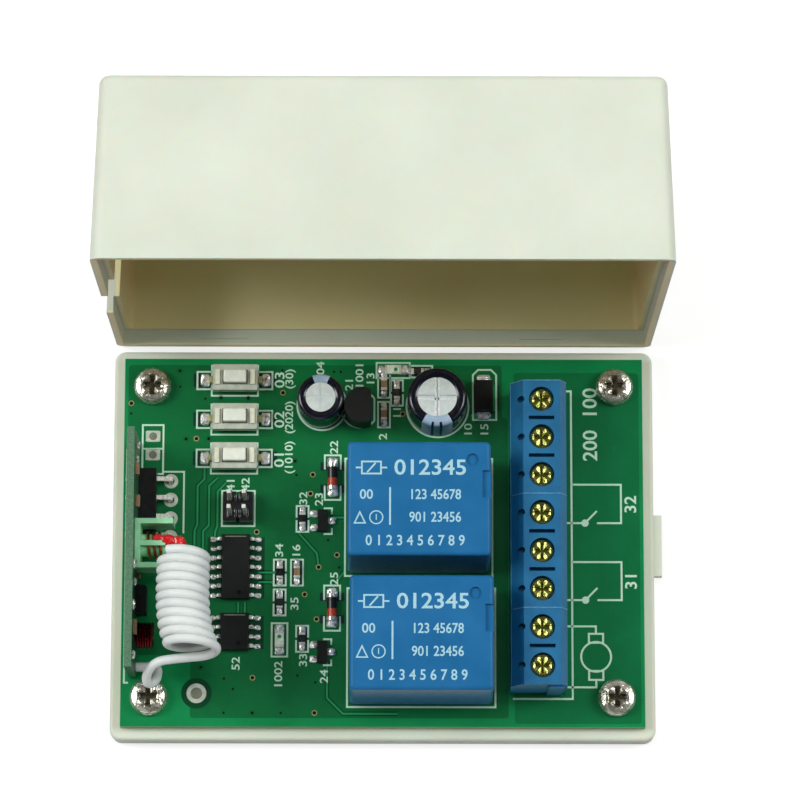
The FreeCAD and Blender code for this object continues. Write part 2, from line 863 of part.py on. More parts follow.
def relay_case(index):
    x, y = f"relay_{index}_x", f"relay_{index}_y"
    body = new_body(f"relay_case_{index}", x, y, BOARD_TOP)
    outline = new_sketch(body, f"relay_outline_{index}")
    rectangle(outline, "relay_length", "relay_width")
    case = pad(body, outline, "relay_height", taper="-atan(relay_draft / relay_height)")
    corners = round_edges(body, case, "relay_corner", upright)
    round_edges(body, corners, "relay_edge_round", level_at(number("relay_height")))
    dimple = new_sketch(body, f"relay_dimple_{index}", offset="relay_height")
    circle(dimple, "relay_dimple", "relay_length / 2 - relay_dimple_inset",
           "relay_width / 2 - relay_dimple_inset")
    pocket(body, dimple, "relay_dimple_depth")
    notch = new_sketch(body, f"relay_notch_{index}", offset="relay_height")
    rectangle(notch, "2 * relay_notch_reach", "relay_notch_length", "relay_length / 2",
              "relay_width / 8")
    pocket(body, notch, "relay_notch_depth")
    keep(body, f"relay_case_{index}")


def relay_pins():
    """Five flat pins a relay: the common, the two of the coil and the two contacts."""
    spread = "relay_pin_spread / 2"
    spots = [("relay_common_x", "0"), ("relay_coil_x", spread), ("relay_coil_x", "-" + spread),
             ("relay_contact_x", spread), ("relay_contact_x", "-" + spread)]
    pins = []
    for index in (1, 2):
        for place_number, (along, across) in enumerate(spots):
            x, y = f"relay_{index}_x + {along}", f"relay_{index}_y + {across}"
            pins.append(block(f"relay_pin_{index}_{place_number}",
                              ("relay_pin_width", "relay_pin_thickness", LEAD_DEPTH),
                              (x, y), f"{BOARD_UNDER} - lead_tail"))
            drill(x, y, "relay_pin_width", "relay_pin_thickness")
    group("relay_pins", pins)


# Push buttons

def switch_y(index):
    return f"switch_1_y + switch_pitch * {index - 1}"


def push_buttons():
    bases, plates, feet = [], [], []
    for index in (1, 2, 3):
        centre = ("switch_x", switch_y(index))
        bases.append(switch_base(index, centre))
        plates.append(switch_plate(index, centre))
        for side in ("-", "+"):
            x = f"switch_x {side} (switch_length + switch_foot_reach) / 2"
            feet.append(block(f"switch_foot_{index}_{'lr'[side == '+']}",
                              ("switch_foot_reach", "switch_foot_width", "switch_foot_thickness"),
                              (x, centre[1]), BOARD_TOP))
        button(index, centre)
    group("switch_bases", bases)
    group("switch_plates", plates)
    group("switch_feet", feet)


def switch_posts(tag, centre, margin, bottom, height):
    """The pair of bars at the ends of the key, or with a margin the slots that they fill."""
    return [block(f"switch_{tag}_{'lr'[side == '+']}",
                  (f"switch_post_width + 2 * {margin}", f"switch_post_length + 2 * {margin}",
                   height), (f"{centre[0]} {side} switch_post_spread / 2", centre[1]), bottom)
            for side in ("-", "+")]


def switch_base(index, centre):
    """The moulding: a well for the key, and two bars that come up through the metal cap."""
    inset = "2 * (switch_plate + switch_cap_clearance)"
    moulding = block(f"switch_moulding_{index}",
                     (f"switch_length - {inset}", f"switch_width - {inset}", "switch_height"),
                     centre, BOARD_TOP)
    bars = switch_posts(f"bar_{index}", centre, "0", BOARD_TOP,
                        "switch_height + switch_plate + switch_post_height")
    well = block(f"switch_well_{index}",
                 ("switch_window_length", "switch_window_width", "switch_well_depth + 1"), centre,
                 f"{BOARD_TOP} + switch_height - switch_well_depth")
    return cut(f"switch_base_{index}", fuse(f"switch_solid_{index}", [moulding] + bars), well)


def switch_plate(index, centre):
    """The metal cap: folded down over the moulding, with a window and two slots."""
    bottom = f"{BOARD_TOP} + switch_height + switch_cap_clearance"
    cap = block(f"switch_cap_{index}", ("switch_length", "switch_width", "switch_skirt"), centre,
                f"{bottom} + switch_plate - switch_skirt")
    inside = block(f"switch_cap_inside_{index}",
                   ("switch_length - 2 * switch_plate", "switch_width - 2 * switch_plate",
                    "switch_skirt"), centre, f"{bottom} - switch_skirt")
    window = block(f"switch_window_{index}",
                   ("switch_window_length", "switch_window_width", "3 * switch_plate"), centre,
                   f"{bottom} - switch_plate")
    slots = switch_posts(f"slot_{index}", centre, "switch_cap_clearance",
                         f"{bottom} - switch_plate", "3 * switch_plate")
    return cut(f"switch_plate_{index}", cap, fuse(f"switch_openings_{index}",
                                                  [inside, window] + slots))


def button(index, centre):
    """A key that sits in the switch's well, its travel above the floor of it."""
    low = "switch_height - switch_well_depth + button_travel + 0.1"
    body = new_body(f"button_{index}", centre[0], centre[1], f"{BOARD_TOP} + {low}")
    outline = new_sketch(body, f"button_outline_{index}")
    rectangle(outline, "button_length", "button_width")
    stem = pad(body, outline, f"button_top - ({low})")
    corners = round_edges(body, stem, "button_round", upright)
    round_edges(body, corners, "button_round", level_at(number(f"button_top - ({low})")))
    keep(body, f"button_{index}")


# Through-hole parts

def capacitor(kind):
    """An aluminium can with a vent cross in its top, and the sleeve shrunk round it."""
    prefix = kind + "_capacitor"
    centre = (prefix + "_x", prefix + "_y")
    radius, tall = f"{prefix}_diameter / 2", f"{prefix}_height"
    inside = f"{radius} - sleeve_wall"
    sleeve = new_body(kind + "_capacitor_sleeve", *centre, BOARD_TOP)
    skin = new_sketch(sleeve, kind + "_sleeve_profile", "XZ_Plane")
    polygon(skin, [
        (inside, "0"),
        (radius, "0"),
        (radius, f"{tall} - sleeve_shoulder"),
        (f"{radius} - sleeve_shoulder * 0.3", f"{tall} - sleeve_shoulder * 0.3"),
        (f"{radius} - sleeve_shoulder", tall),
        (f"{radius} - sleeve_rim", tall),
        (f"{radius} - sleeve_rim", f"{tall} - sleeve_wall"),
        (f"{radius} - sleeve_shoulder - sleeve_wall * 0.4", f"{tall} - sleeve_wall"),
        (f"{inside} - sleeve_shoulder * 0.3", f"{tall} - sleeve_shoulder * 0.3 - sleeve_wall"),
        (inside, f"{tall} - sleeve_shoulder - sleeve_wall * 0.4"),
    ])
    revolve(sleeve, skin)
    can = new_body(kind + "_capacitor_can", *centre, BOARD_TOP)
    profile = new_sketch(can, kind + "_can_profile", "XZ_Plane")
    wall, top = f"{inside} - can_clearance", f"{tall} - sleeve_wall - can_clearance"
    polygon(profile, [
        ("0", "0"),
        (wall, "0"),
        (wall, f"{tall} - sleeve_shoulder - sleeve_wall * 0.4 - can_clearance"),
        (f"{wall} - sleeve_shoulder * 0.3",
         f"{tall} - sleeve_shoulder * 0.3 - sleeve_wall - can_clearance"),
        (f"{radius} - sleeve_shoulder - sleeve_wall * 0.4 - can_clearance * 2", top),
        ("0", top),
    ])
    revolve(can, profile)
    cross_recess(can, kind + "_can_vent", top, f"2 * ({radius} - sleeve_rim)", "vent_width",
                 "vent_depth")
    leads = []
    for side in ("-", "+"):
        y = f"{centre[1]} {side} {prefix}_pitch / 2"
        leads.append(rod(f"{kind}_capacitor_lead_{'ab'[side == '+']}", "capacitor_lead",
                         LEAD_DEPTH, (centre[0], y), f"{BOARD_UNDER} - lead_tail"))
        drill(centre[0], y, "capacitor_lead")
    return sleeve, can, leads


def flat_transistor():
    """A half-round plastic body with its flat towards the terminals, on three leads."""
    centre = ("transistor_x", "transistor_y")
    round_body = rod("transistor_round", "transistor_diameter", "transistor_height", centre,
                     f"{BOARD_TOP} + transistor_lift")
    side = block("transistor_side", ("transistor_diameter",) * 2 + ("transistor_height * 2",),
                 (f"{centre[0]} + transistor_flat + transistor_diameter / 2", centre[1]),
                 BOARD_TOP)
    keep(cut("transistor_body", round_body, side), "transistor_body")
    leads = []
    for step in (-1, 0, 1):
        y = f"transistor_y + transistor_pitch * {step}"
        leads.append(block(f"transistor_lead_{step + 1}",
                           ("transistor_lead", "transistor_lead",
                            f"{LEAD_DEPTH} + transistor_lift"),
                           (centre[0], y), f"{BOARD_UNDER} - lead_tail"))
        drill(centre[0], y, "transistor_lead", "transistor_lead")
    group("transistor_leads", leads)


def through_hole_parts():
    sleeves, cans, leads = zip(capacitor("large"), capacitor("small"))
    group("capacitor_sleeves", list(sleeves))
    group("capacitor_cans", list(cans))
    group("capacitor_leads", leads[0] + leads[1])
    flat_transistor()


def jumper_header():
    centre = ("jumper_x", "jumper_y")
    body = new_body("jumper_block", *centre, BOARD_TOP)
    outline = new_sketch(body, "jumper_outline")
    rectangle(outline, "jumper_body", "jumper_body")
    moulding = pad(body, outline, "jumper_body_height")
    round_edges(body, moulding, "jumper_corner", upright)
    notches = new_sketch(body, "jumper_notches", offset="jumper_body_height")
    for side in ("-", ""):
        rectangle(notches, "jumper_notch", "2 * jumper_notch", "0", f"{side}jumper_body / 2")
    pocket(body, notches, "jumper_body_height")
    holes = new_sketch(body, "jumper_holes", offset="jumper_body_height")
    pins = []
    for side_x in ("-", "+"):
        for side_y in ("-", "+"):
            dx, dy = f"{side_x}jumper_pitch / 2", f"{side_y}jumper_pitch / 2"
            rectangle(holes, "jumper_pin + 2 * pin_clearance", "jumper_pin + 2 * pin_clearance",
                      dx, dy)
            x, y = f"jumper_x {side_x} jumper_pitch / 2", f"jumper_y {side_y} jumper_pitch / 2"
            pins.append(block(f"jumper_pin_{len(pins) + 1}",
                              ("jumper_pin", "jumper_pin", f"{LEAD_DEPTH} + jumper_pin_top"),
                              (x, y), f"{BOARD_UNDER} - lead_tail"))
            drill(x, y, "jumper_pin", "jumper_pin")
    pocket(body, holes, "jumper_body_height")
    keep(body, "jumper_block")
    group("jumper_pins", pins)


# Surface-mounted parts

def chip_body(name, length):
    """A moulded chip: bevelled long sides and a dimple by its first lead."""
    body = new_body(name + "_chip", name + "_x", name + "_y", BOARD_TOP)
    low, high = "chip_lift", "chip_height"
    middle = f"({low} + {high}) / 2"
    profile = new_sketch(body, name + "_section", "XZ_Plane")
    polygon(profile, [
        ("-chip_width / 2 + chip_bevel", low),
        ("chip_width / 2 - chip_bevel", low),
        ("chip_width / 2", middle),
        ("chip_width / 2 - chip_bevel", high),
        ("-chip_width / 2 + chip_bevel", high),
        ("-chip_width / 2", middle),
    ])
    pad(body, profile, length, centred=True)
    dimple = new_sketch(body, name + "_dimple", offset=high)
    circle(dimple, "chip_dimple", "-chip_width / 2 + chip_dimple",
           f"{length} / 2 - chip_dimple")
    pocket(body, dimple, "chip_dimple_depth")
    keep(body, name + "_chip")


def chip_leads(name, count):
    """Gull-wing leads down both long sides of a chip."""
    body = new_body(name + "_leads", name + "_x", name + "_y", BOARD_TOP)
    wall, tip = "chip_width / 2", "chip_span / 2"
    middle = "(chip_lift + chip_height) / 2"
    heel = f"{tip} - chip_lead_foot"
    profile = new_sketch(body, name + "_lead_profile", "XZ_Plane",
                         f"-chip_lead_pitch * ({count} - 1) / 2")
    for side in ("", "-"):
        polygon(profile, [
            (f"{side}({wall})", f"{middle} + chip_lead_thickness / 2"),
            (f"{side}({wall})", f"{middle} - chip_lead_thickness / 2"),
            (f"{side}({heel} - chip_lead_thickness)", f"{middle} - chip_lead_thickness / 2"),
            (f"{side}({heel} - chip_lead_thickness / 2)", "0"),
            (f"{side}({tip})", "0"),
            (f"{side}({tip})", "chip_lead_thickness"),
            (f"{side}({heel} + chip_lead_thickness / 2)", "chip_lead_thickness"),
            (f"{side}({heel})", f"{middle} + chip_lead_thickness / 2"),
        ])
    pair = pad(body, profile, "chip_lead_width", centred=True)
    row(body, [pair], "Y_Axis", "chip_lead_pitch", count, reverse=True)
    return body


def power_diode():
    centre = ("power_diode_x", "power_diode_y")
    body = new_body("power_diode", *centre, BOARD_TOP)
    outline = new_sketch(body, "power_diode_outline")
    rectangle(outline, "power_diode_width", "power_diode_length")
    pad(body, outline, "power_diode_height", taper="-atan(chip_bevel / power_diode_height)")
    keep(body, "power_diode")
    tabs = []
    for side in ("-", "+"):
        y = f"{centre[1]} {side} (power_diode_length + power_diode_tab_reach) / 2"
        tabs.append(block(f"power_diode_tab_{'ab'[side == '+']}",
                          ("power_diode_tab", "power_diode_tab_reach",
                           "power_diode_tab_thickness"), (centre[0], y), BOARD_TOP))
    group("power_diode_tabs", tabs)


def glass_diodes():
    """Two round glass diodes along Y, each with a metal cap on both ends."""
    glasses, caps = [], []
    for index in (1, 2):
        spot = ("glass_diode_x", f"glass_diode_{index}_y",
                f"{BOARD_TOP} + glass_diode_diameter / 2")
        tube = new_body(f"glass_diode_{index}", *spot)
        ring = new_sketch(tube, f"glass_ring_{index}", "XZ_Plane")
        circle(ring, "glass_diode_diameter - 2 * glass_diode_step")
        pad(tube, ring, "glass_diode_length - 2 * glass_diode_cap", centred=True)
        glasses.append(tube)
        ends = new_body(f"glass_diode_caps_{index}", *spot)
        for side in ("-", ""):
            face = new_sketch(ends, f"glass_cap_{index}_{side or 'far'}", "XZ_Plane",
                              f"{side}(glass_diode_length - glass_diode_cap) / 2")
            circle(face, "glass_diode_diameter")
            pad(ends, face, "glass_diode_cap", centred=True)
        caps.append(ends)
    group("glass_diodes", glasses)
    group("glass_diode_caps", caps)


def driver_transistors():
    """The two small transistors that switch the relay coils: one lead left, two right."""
    bodies, leads = [], []
    for index in (1, 2):
        x, y = "driver_x", f"driver_{index}_y"
        bodies.append(block(f"driver_body_{index}",
                            ("driver_width", "driver_length", "driver_height"), (x, y), BOARD_TOP))
        for side, step in (("-", "0"), ("+", "driver_lead_spread / 2"),
                           ("+", "-driver_lead_spread / 2")):
            lead_x = f"{x} {side} (driver_width + driver_lead_reach) / 2"
            leads.append(block(f"driver_lead_{index}_{len(leads)}",
                               ("driver_lead_reach", "driver_lead_width",
                                "driver_lead_thickness"), (lead_x, f"{y} + {step}"), BOARD_TOP))
    group("driver_transistors", bodies)
    group("driver_leads", leads)


def surface_parts():
    chip_body("decoder", "decoder_length")
    chip_body("memory", "memory_length")
    group("chip_leads", [chip_leads("decoder", "decoder_leads_a_side"),
                         chip_leads("memory", "memory_leads_a_side")])
    power_diode()
    glass_diodes()
    driver_transistors()
    resistors = [block(name, ("passive_width", "passive_length", "resistor_height"),
                       (name + "_x", name + "_y"), BOARD_TOP) for name in RESISTORS]
    resistors.append(block("lamp_resistor",
                           ("passive_length", "passive_width", "resistor_height"),
                           ("lamp_resistor_x", "lamp_resistor_y"), BOARD_TOP))
    group("chip_resistors", resistors)
    group("ceramic_capacitors",
          [block(name, ("passive_width", "passive_length", "ceramic_height"),
                 (name + "_x", name + "_y"), BOARD_TOP) for name in CERAMICS])
    group("indicators", [
        block("power_indicator", ("indicator_length", "indicator_width", "indicator_height"),
              ("power_indicator_x", "power_indicator_y"), BOARD_TOP),
        block("learn_indicator", ("indicator_width", "indicator_length", "indicator_height"),
              ("learn_indicator_x", "learn_indicator_y"), BOARD_TOP),
    ])


# Upright radio board

def radio_board():
    """The small board that stands on edge, held by its bent pins."""
    body = new_body("radio_board", "0", "0", BOARD_TOP)
    outline = new_sketch(body, "radio_outline", "YZ_Plane", "radio_x")
    rectangle(outline, "radio_length", "radio_height", "radio_y", "radio_gap + radio_height / 2")
    pad(body, outline, "radio_thickness")
    holes = new_sketch(body, "radio_holes", "YZ_Plane", RADIO_FACE)
    for index in range(int(SIZES["radio_pin_count"])):
        circle(holes, "radio_pin * sqrt(2) + 2 * pin_clearance",
               f"radio_pin_first_y - radio_pin_pitch * {index}", "radio_pin_height")
    pocket(body, holes, "radio_thickness")
    keep(body, "radio_board")


def radio_header():
    """Four bent pins: through the radio board and their block, then down into the main board."""
    first, count = "radio_pin_first_y", "radio_pin_count"
    body = new_body("radio_pin_block", "0", "0", BOARD_TOP)
    centre = f"{first} - radio_pin_pitch * ({count} - 1) / 2"
    outline = new_sketch(body, "pin_block_outline", "YZ_Plane", RADIO_FACE)
    rectangle(outline, f"radio_pin_pitch * {count}", "radio_block_height", centre,
              "radio_pin_height")
    pad(body, outline, "radio_block_depth")
    holes = new_sketch(body, "pin_block_holes", "YZ_Plane", f"{RADIO_FACE} + radio_block_depth")
    for index in range(int(SIZES["radio_pin_count"])):
        rectangle(holes, "radio_pin + 2 * pin_clearance", "radio_pin + 2 * pin_clearance",
                  f"{first} - radio_pin_pitch * {index}", "radio_pin_height")
        drill("radio_pad_x", f"{first} - radio_pin_pitch * {index}", "radio_pin", "radio_pin")
    pocket(body, holes, "radio_block_depth")
    keep(body, "radio_pin_block")
    pins = new_body("radio_pins", "0", first, BOARD_TOP)
    tip = "radio_x - radio_pin_tip"
    low, high = "radio_pin_height - radio_pin / 2", "radio_pin_height + radio_pin / 2"
    profile = new_sketch(pins, "radio_pin_profile", "XZ_Plane")
    polygon(profile, [
        (tip, low),
        ("radio_pad_x - radio_pin / 2", low),
        ("radio_pad_x - radio_pin / 2", f"-({LEAD_DEPTH})"),
        ("radio_pad_x + radio_pin / 2", f"-({LEAD_DEPTH})"),
        ("radio_pad_x + radio_pin / 2", f"{high} - radio_pin / 2"),
        ("radio_pad_x", high),
        (tip, high),
    ])
    pin = pad(pins, profile, "radio_pin", centred=True)
    row(pins, [pin], "Y_Axis", "radio_pin_pitch", count, reverse=True)
    keep(pins, "radio_pins")


def coil_former():
    """The tuned coil's former: flange, hollow core and three ribs over the winding."""
    body = new_body("coil_former", RADIO_FACE, "former_y", f"{BOARD_TOP} + former_height")
    flange = new_sketch(body, "former_flange", "YZ_Plane")
    rectangle(flange, "former_width", "former_tall")
    pad(body, flange, "former_flange")
    core = new_sketch(body, "former_core", "YZ_Plane")
    circle(core, "former_core")
    pad(body, core, "former_reach")
    ribs = new_sketch(body, "former_ribs", "YZ_Plane")
    for side in ("-", ""):
        rectangle(ribs, "former_rib", "former_tall", f"{side}(former_width - former_rib) / 2")
    pad(body, ribs, "former_reach")
    crown = new_sketch(body, "former_crown", "YZ_Plane")
    rectangle(crown, "former_rib", "former_rib / 2", "0", "former_tall / 2 - former_rib / 4")
    pad(body, crown, "former_crown_reach")
    bore = new_sketch(body, "former_bore", "YZ_Plane", "former_reach")
    circle(bore, "tuning_core + 2 * pin_clearance")
    pocket(body, bore, "tuning_core_depth")
    keep(body, "coil_former")
    slug = new_body("tuning_core", RADIO_FACE, "former_y", f"{BOARD_TOP} + former_height")
    disc = new_sketch(slug, "tuning_core_disc", "YZ_Plane", "former_reach - tuning_core_depth")
    circle(disc, "tuning_core")
    pad(slug, disc, "tuning_core_depth - tuning_core_setback")
    keep(slug, "tuning_core")


def radio_parts():
    """The radio chip and the small choke on the board's inner face."""
    chip = new_body("radio_chip", RADIO_FACE, "radio_chip_y", f"{BOARD_TOP} + radio_chip_height")
    outline = new_sketch(chip, "radio_chip_outline", "YZ_Plane")
    rectangle(outline, "radio_chip_size", "radio_chip_size")
    pad(chip, outline, "radio_chip_thickness", taper="-atan(chip_bevel / radio_chip_thickness)")
    choke = new_body("choke", RADIO_FACE, "inductor_y", f"{BOARD_TOP} + inductor_height")
    disc = new_sketch(choke, "choke_disc", "YZ_Plane")
    circle(disc, "inductor_diameter")
    pad(choke, disc, "inductor_length")
    group("radio_parts", [chip, choke])


# Wound pieces

def corner_arc(start, corner, end):
    """The arc that touches both legs of a corner, its legs being alike."""
    middle = (start + end) / 2
    half_chord = (end - start).Length / 2
    leg = (corner - start).Length
    half_turn = math.acos(half_chord / leg)
    rise = leg / math.tan(half_turn) * (1 - math.cos(half_turn))
    towards = Vector(corner - middle).normalize()
    return Part.Arc(start, middle + towards * rise, end).toShape()


def biarc(start, start_run, end, end_run):
    """Two arcs that leave one point and reach another along given directions."""
    chord = end - start
    square = 2 * (1 - start_run.dot(end_run))
    linear = 2 * chord.dot(start_run + end_run)
    leg = (-linear + math.sqrt(linear ** 2 + 4 * square * chord.dot(chord))) / (2 * square)
    near, far = start + start_run * leg, end - end_run * leg
    middle = (near + far) / 2
    return [corner_arc(start, near, middle), corner_arc(middle, far, end)]


def helix(frame, radius, pitch, turns, flare=0.0, bow=0.0):
    """What gives a coil's point and direction some turns along; it can widen and bow at its end."""
    start, along, side, up, begin, sense = frame

    def spot(passed):
        late = (passed / turns) ** 4
        angle = begin + sense * 2 * math.pi * passed
        reach = radius + flare * late
        place = start + along * (pitch * passed)
        place = place + side * (bow * late + reach * math.cos(angle))
        return place + up * (reach * math.sin(angle))

    def point(passed):
        nearby = 1e-4
        run = spot(passed + nearby) - spot(passed - nearby)
        return spot(passed), run.normalize()

    return point


def helix_edges(point, turns):
    """The coil as biarcs of up to half a turn."""
    edges, passed = [], 0.0
    while passed < turns - 1e-6:
        step = min(0.5, turns - passed)
        start, start_run = point(passed)
        end, end_run = point(passed + step)
        edges += biarc(start, start_run, end, end_run)
        passed += step
    return edges


def rounded_route(points):
    """Straight runs through the points, joined by arcs that take up most of each run."""
    edges, here = [], points[0]
    for before, corner, after in zip(points, points[1:], points[2:]):
        back, ahead = before - corner, after - corner
        leg = SIZES["aerial_bend"] * min(back.Length, ahead.Length)
        enter = corner + Vector(back).normalize() * leg
        leave = corner + Vector(ahead).normalize() * leg
        edges.append(Part.LineSegment(here, enter).toShape())
        edges.append(corner_arc(enter, corner, leave))
        here = leave
    edges.append(Part.LineSegment(here, points[-1]).toShape())
    return edges


def wire_solid(edges, diameter):
    """A round wire swept along the edges in one pipe shell."""
    spine = Part.Wire(edges)
    start = edges[0].valueAt(edges[0].FirstParameter)
    run = edges[0].tangentAt(edges[0].FirstParameter)
    ring = Part.Wire([Part.Circle(start, run, diameter / 2).toShape()])
    shell = Part.BRepOffsetAPI.MakePipeShell(spine)
    shell.add(ring)
    shell.build()
    shell.makeSolid()
    return shell.shape()


def least_self_gap(name, edges, diameter):
    """The smallest clear distance between stretches of wire over two diameters apart."""
    spots, travelled, total = [], [], 0.0
    for edge in edges:
        for spot in edge.discretize(7)[:-1]:
            if spots:
                total += (spot - spots[-1]).Length
            spots.append(spot)
            travelled.append(total)
    apart = 4 * diameter
    gaps = [(a - b).Length
            for i, a in enumerate(spots) for j, b in enumerate(spots[:i])
            if travelled[i] - travelled[j] > apart]
    gap = min(gaps) - diameter
    print(f"{name}: {total:.1f} mm of wire, least gap to itself {gap:.2f} mm")


def wound_piece(name, edges, diameter):
    item = doc.addObject("Part::Feature", name)
    item.Shape = wire_solid(edges, diameter)
    item.Placement = FreeCAD.Placement()
    least_self_gap(name, edges, diameter)
    keep(item, name)


def former_winding():
    """A few turns of bare wire round the former's core."""
    wire = number("former_wire")
    radius = number("former_core / 2 + former_wire / 2 + pin_clearance")
    start = Vector(number(f"{RADIO_FACE} + former_coil_start"), number("former_y"),
                   number(f"{BOARD_TOP} + former_height"))
    frame = (start, Vector(1, 0, 0), Vector(0, 1, 0), Vector(0, 0, 1), -math.pi / 2, 1)
    pitch = wire + number("former_wire_gap")
    turns = SIZES["former_turns"]
    wound_piece("former_winding", helix_edges(helix(frame, radius, pitch, turns), turns), wire)


def aerial():
    """The insulated wire: a leaning coil, then down and round to the radio board's corner."""
    tilt, swing = math.radians(number("aerial_tilt")), math.radians(number("aerial_swing"))
    along = Vector(math.sin(swing) * math.cos(tilt), -math.cos(swing) * math.cos(tilt),
                   math.sin(tilt))
    side = Vector(math.cos(swing), math.sin(swing), 0)
    up = along.cross(side)
    start = Vector(number("aerial_start_x"), number("aerial_start_y"),
                   number(f"{BOARD_TOP} + aerial_start_height"))
    frame = (start, along, side, up, math.radians(number("aerial_begin")), -1)
    turns = number("aerial_turns")
    point = helix(frame, number("aerial_radius"), number("aerial_pitch"), turns,
                  number("aerial_flare"), number("aerial_bow"))
    edges = helix_edges(point, turns)
    end, run = point(turns)
    board_top = number(BOARD_TOP)
    points = [end, end + run * number("aerial_first_run")]
    points += [Vector(x, y, board_top + above) for x, y, above in AERIAL_ROUTE]
    last = points[-1]
    points.append(Vector(number(RADIO_FACE), last.y, last.z))
    edges += rounded_route(points)
    wound_piece("aerial", edges, number("aerial_wire"))


def change_of_volume(feature):
    before = feature.BaseFeature.Shape.Volume if feature.BaseFeature else 0.0
    return feature.Shape.Volume - before


def report_and_write():
    """Every object has to be sound, and every feature has to act, before any file is written."""
    doc.recompute()
    for item in doc.Objects:
        for word in ("Invalid", "Error"):
            if word in item.State:
                raise RuntimeError(f"{item.Label} is {item.State}")
        if item.TypeId == "PartDesign::Pad" and change_of_volume(item) <= 0:
            raise RuntimeError(f"{item.Label} adds nothing")
        if item.TypeId == "PartDesign::Pocket" and change_of_volume(item) >= 0:
            raise RuntimeError(f"{item.Label} takes nothing away")
    for item in sub_parts:
        if item.Shape.isNull() or not item.Shape.isValid():
            raise RuntimeError(f"{item.Label} has no sound shape")
    os.makedirs("parts", exist_ok=True)
    for item in sub_parts:
        item.Shape.exportStep(f"parts/{item.Label}.step")


fill_sheet()
base_tray()
cover()
board_screws()
screw_terminals()
relay_case(1)
relay_case(2)
relay_pins()
push_buttons()
through_hole_parts()
jumper_header()
surface_parts()
radio_board()
radio_header()
coil_former()
radio_parts()
former_winding()
aerial()
main_board()
report_and_write()
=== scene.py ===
"""Looks of a radio relay receiver: finishes, board print, solder, markings and the wire aerial.

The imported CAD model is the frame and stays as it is. Every piece made here lies on it and rides
on one of its bodies. Sizes and places are in millimetres, and the helpers write metres.
"""

import json
import math

import bmesh
import bpy
from mathutils import Matrix, Vector, noise


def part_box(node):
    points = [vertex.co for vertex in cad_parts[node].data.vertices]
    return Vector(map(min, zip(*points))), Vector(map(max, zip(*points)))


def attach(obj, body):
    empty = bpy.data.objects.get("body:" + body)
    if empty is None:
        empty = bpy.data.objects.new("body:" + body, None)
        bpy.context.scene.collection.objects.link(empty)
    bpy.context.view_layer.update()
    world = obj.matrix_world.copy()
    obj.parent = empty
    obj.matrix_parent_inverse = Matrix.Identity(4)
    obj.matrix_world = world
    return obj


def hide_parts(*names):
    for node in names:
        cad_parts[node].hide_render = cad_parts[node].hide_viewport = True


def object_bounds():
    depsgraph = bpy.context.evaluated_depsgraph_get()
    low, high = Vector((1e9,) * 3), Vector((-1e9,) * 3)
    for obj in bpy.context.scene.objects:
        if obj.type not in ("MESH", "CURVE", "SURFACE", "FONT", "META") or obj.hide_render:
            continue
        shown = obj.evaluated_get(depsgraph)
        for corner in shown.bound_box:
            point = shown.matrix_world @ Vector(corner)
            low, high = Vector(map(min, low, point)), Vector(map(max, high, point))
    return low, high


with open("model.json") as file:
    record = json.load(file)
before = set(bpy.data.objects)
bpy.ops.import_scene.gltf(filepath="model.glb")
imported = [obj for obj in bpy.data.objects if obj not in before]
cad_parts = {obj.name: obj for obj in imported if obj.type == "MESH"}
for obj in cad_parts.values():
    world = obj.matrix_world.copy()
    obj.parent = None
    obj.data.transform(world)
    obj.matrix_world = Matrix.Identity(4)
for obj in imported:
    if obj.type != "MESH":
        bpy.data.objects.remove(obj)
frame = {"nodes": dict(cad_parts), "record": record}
CAD_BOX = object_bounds()
MM = 0.001
WHITE = (1, 1, 1, 1)


# Places read from the frame

def box(node):
    """Lowest and highest corners of a CAD node."""
    low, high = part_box(node)
    return Vector(low) / MM, Vector(high) / MM


def solid_boxes(node):
    """The corners of each separate solid of a CAD node."""
    mesh = bmesh.new()
    mesh.from_mesh(frame["nodes"][node].data)
    bmesh.ops.remove_doubles(mesh, verts=mesh.verts, dist=1e-7)
    boxes, seen = [], set()
    for start in mesh.verts:
        if start in seen:
            continue
        seen.add(start)
        group, todo = [], [start]
        while todo:
            vert = todo.pop()
            group.append(vert.co / MM)
            for edge in vert.link_edges:
                other = edge.other_vert(vert)
                if other not in seen:
                    seen.add(other)
                    todo.append(other)
        low = Vector([min(spot[axis] for spot in group) for axis in range(3)])
        high = Vector([max(spot[axis] for spot in group) for axis in range(3)])
        boxes.append((low, high))
    mesh.free()
    return boxes


def lies_along_x(low, high):
    return high.x - low.x > high.y - low.y


def corners(low, high, x=0.0, y=0.0):
    """The four corners, seen from above, of a box grown by x and y on each side."""
    return [(low[0] - x, low[1] - y), (high[0] + x, low[1] - y),
            (high[0] + x, high[1] + y), (low[0] - x, high[1] + y)]


BOARD_TOP = box("main_board")[1].z


# Shader nodes

SPECKLE_RANGE = (0.25, 0.75)


def linear(shade):
    """A screen colour, 0 to 255, as the renderer's linear values."""
    parts = [part / 255 for part in shade]
    return [part / 12.92 if part <= 0.04045 else ((part + 0.055) / 1.055) ** 2.4
            for part in parts] + [1.0]


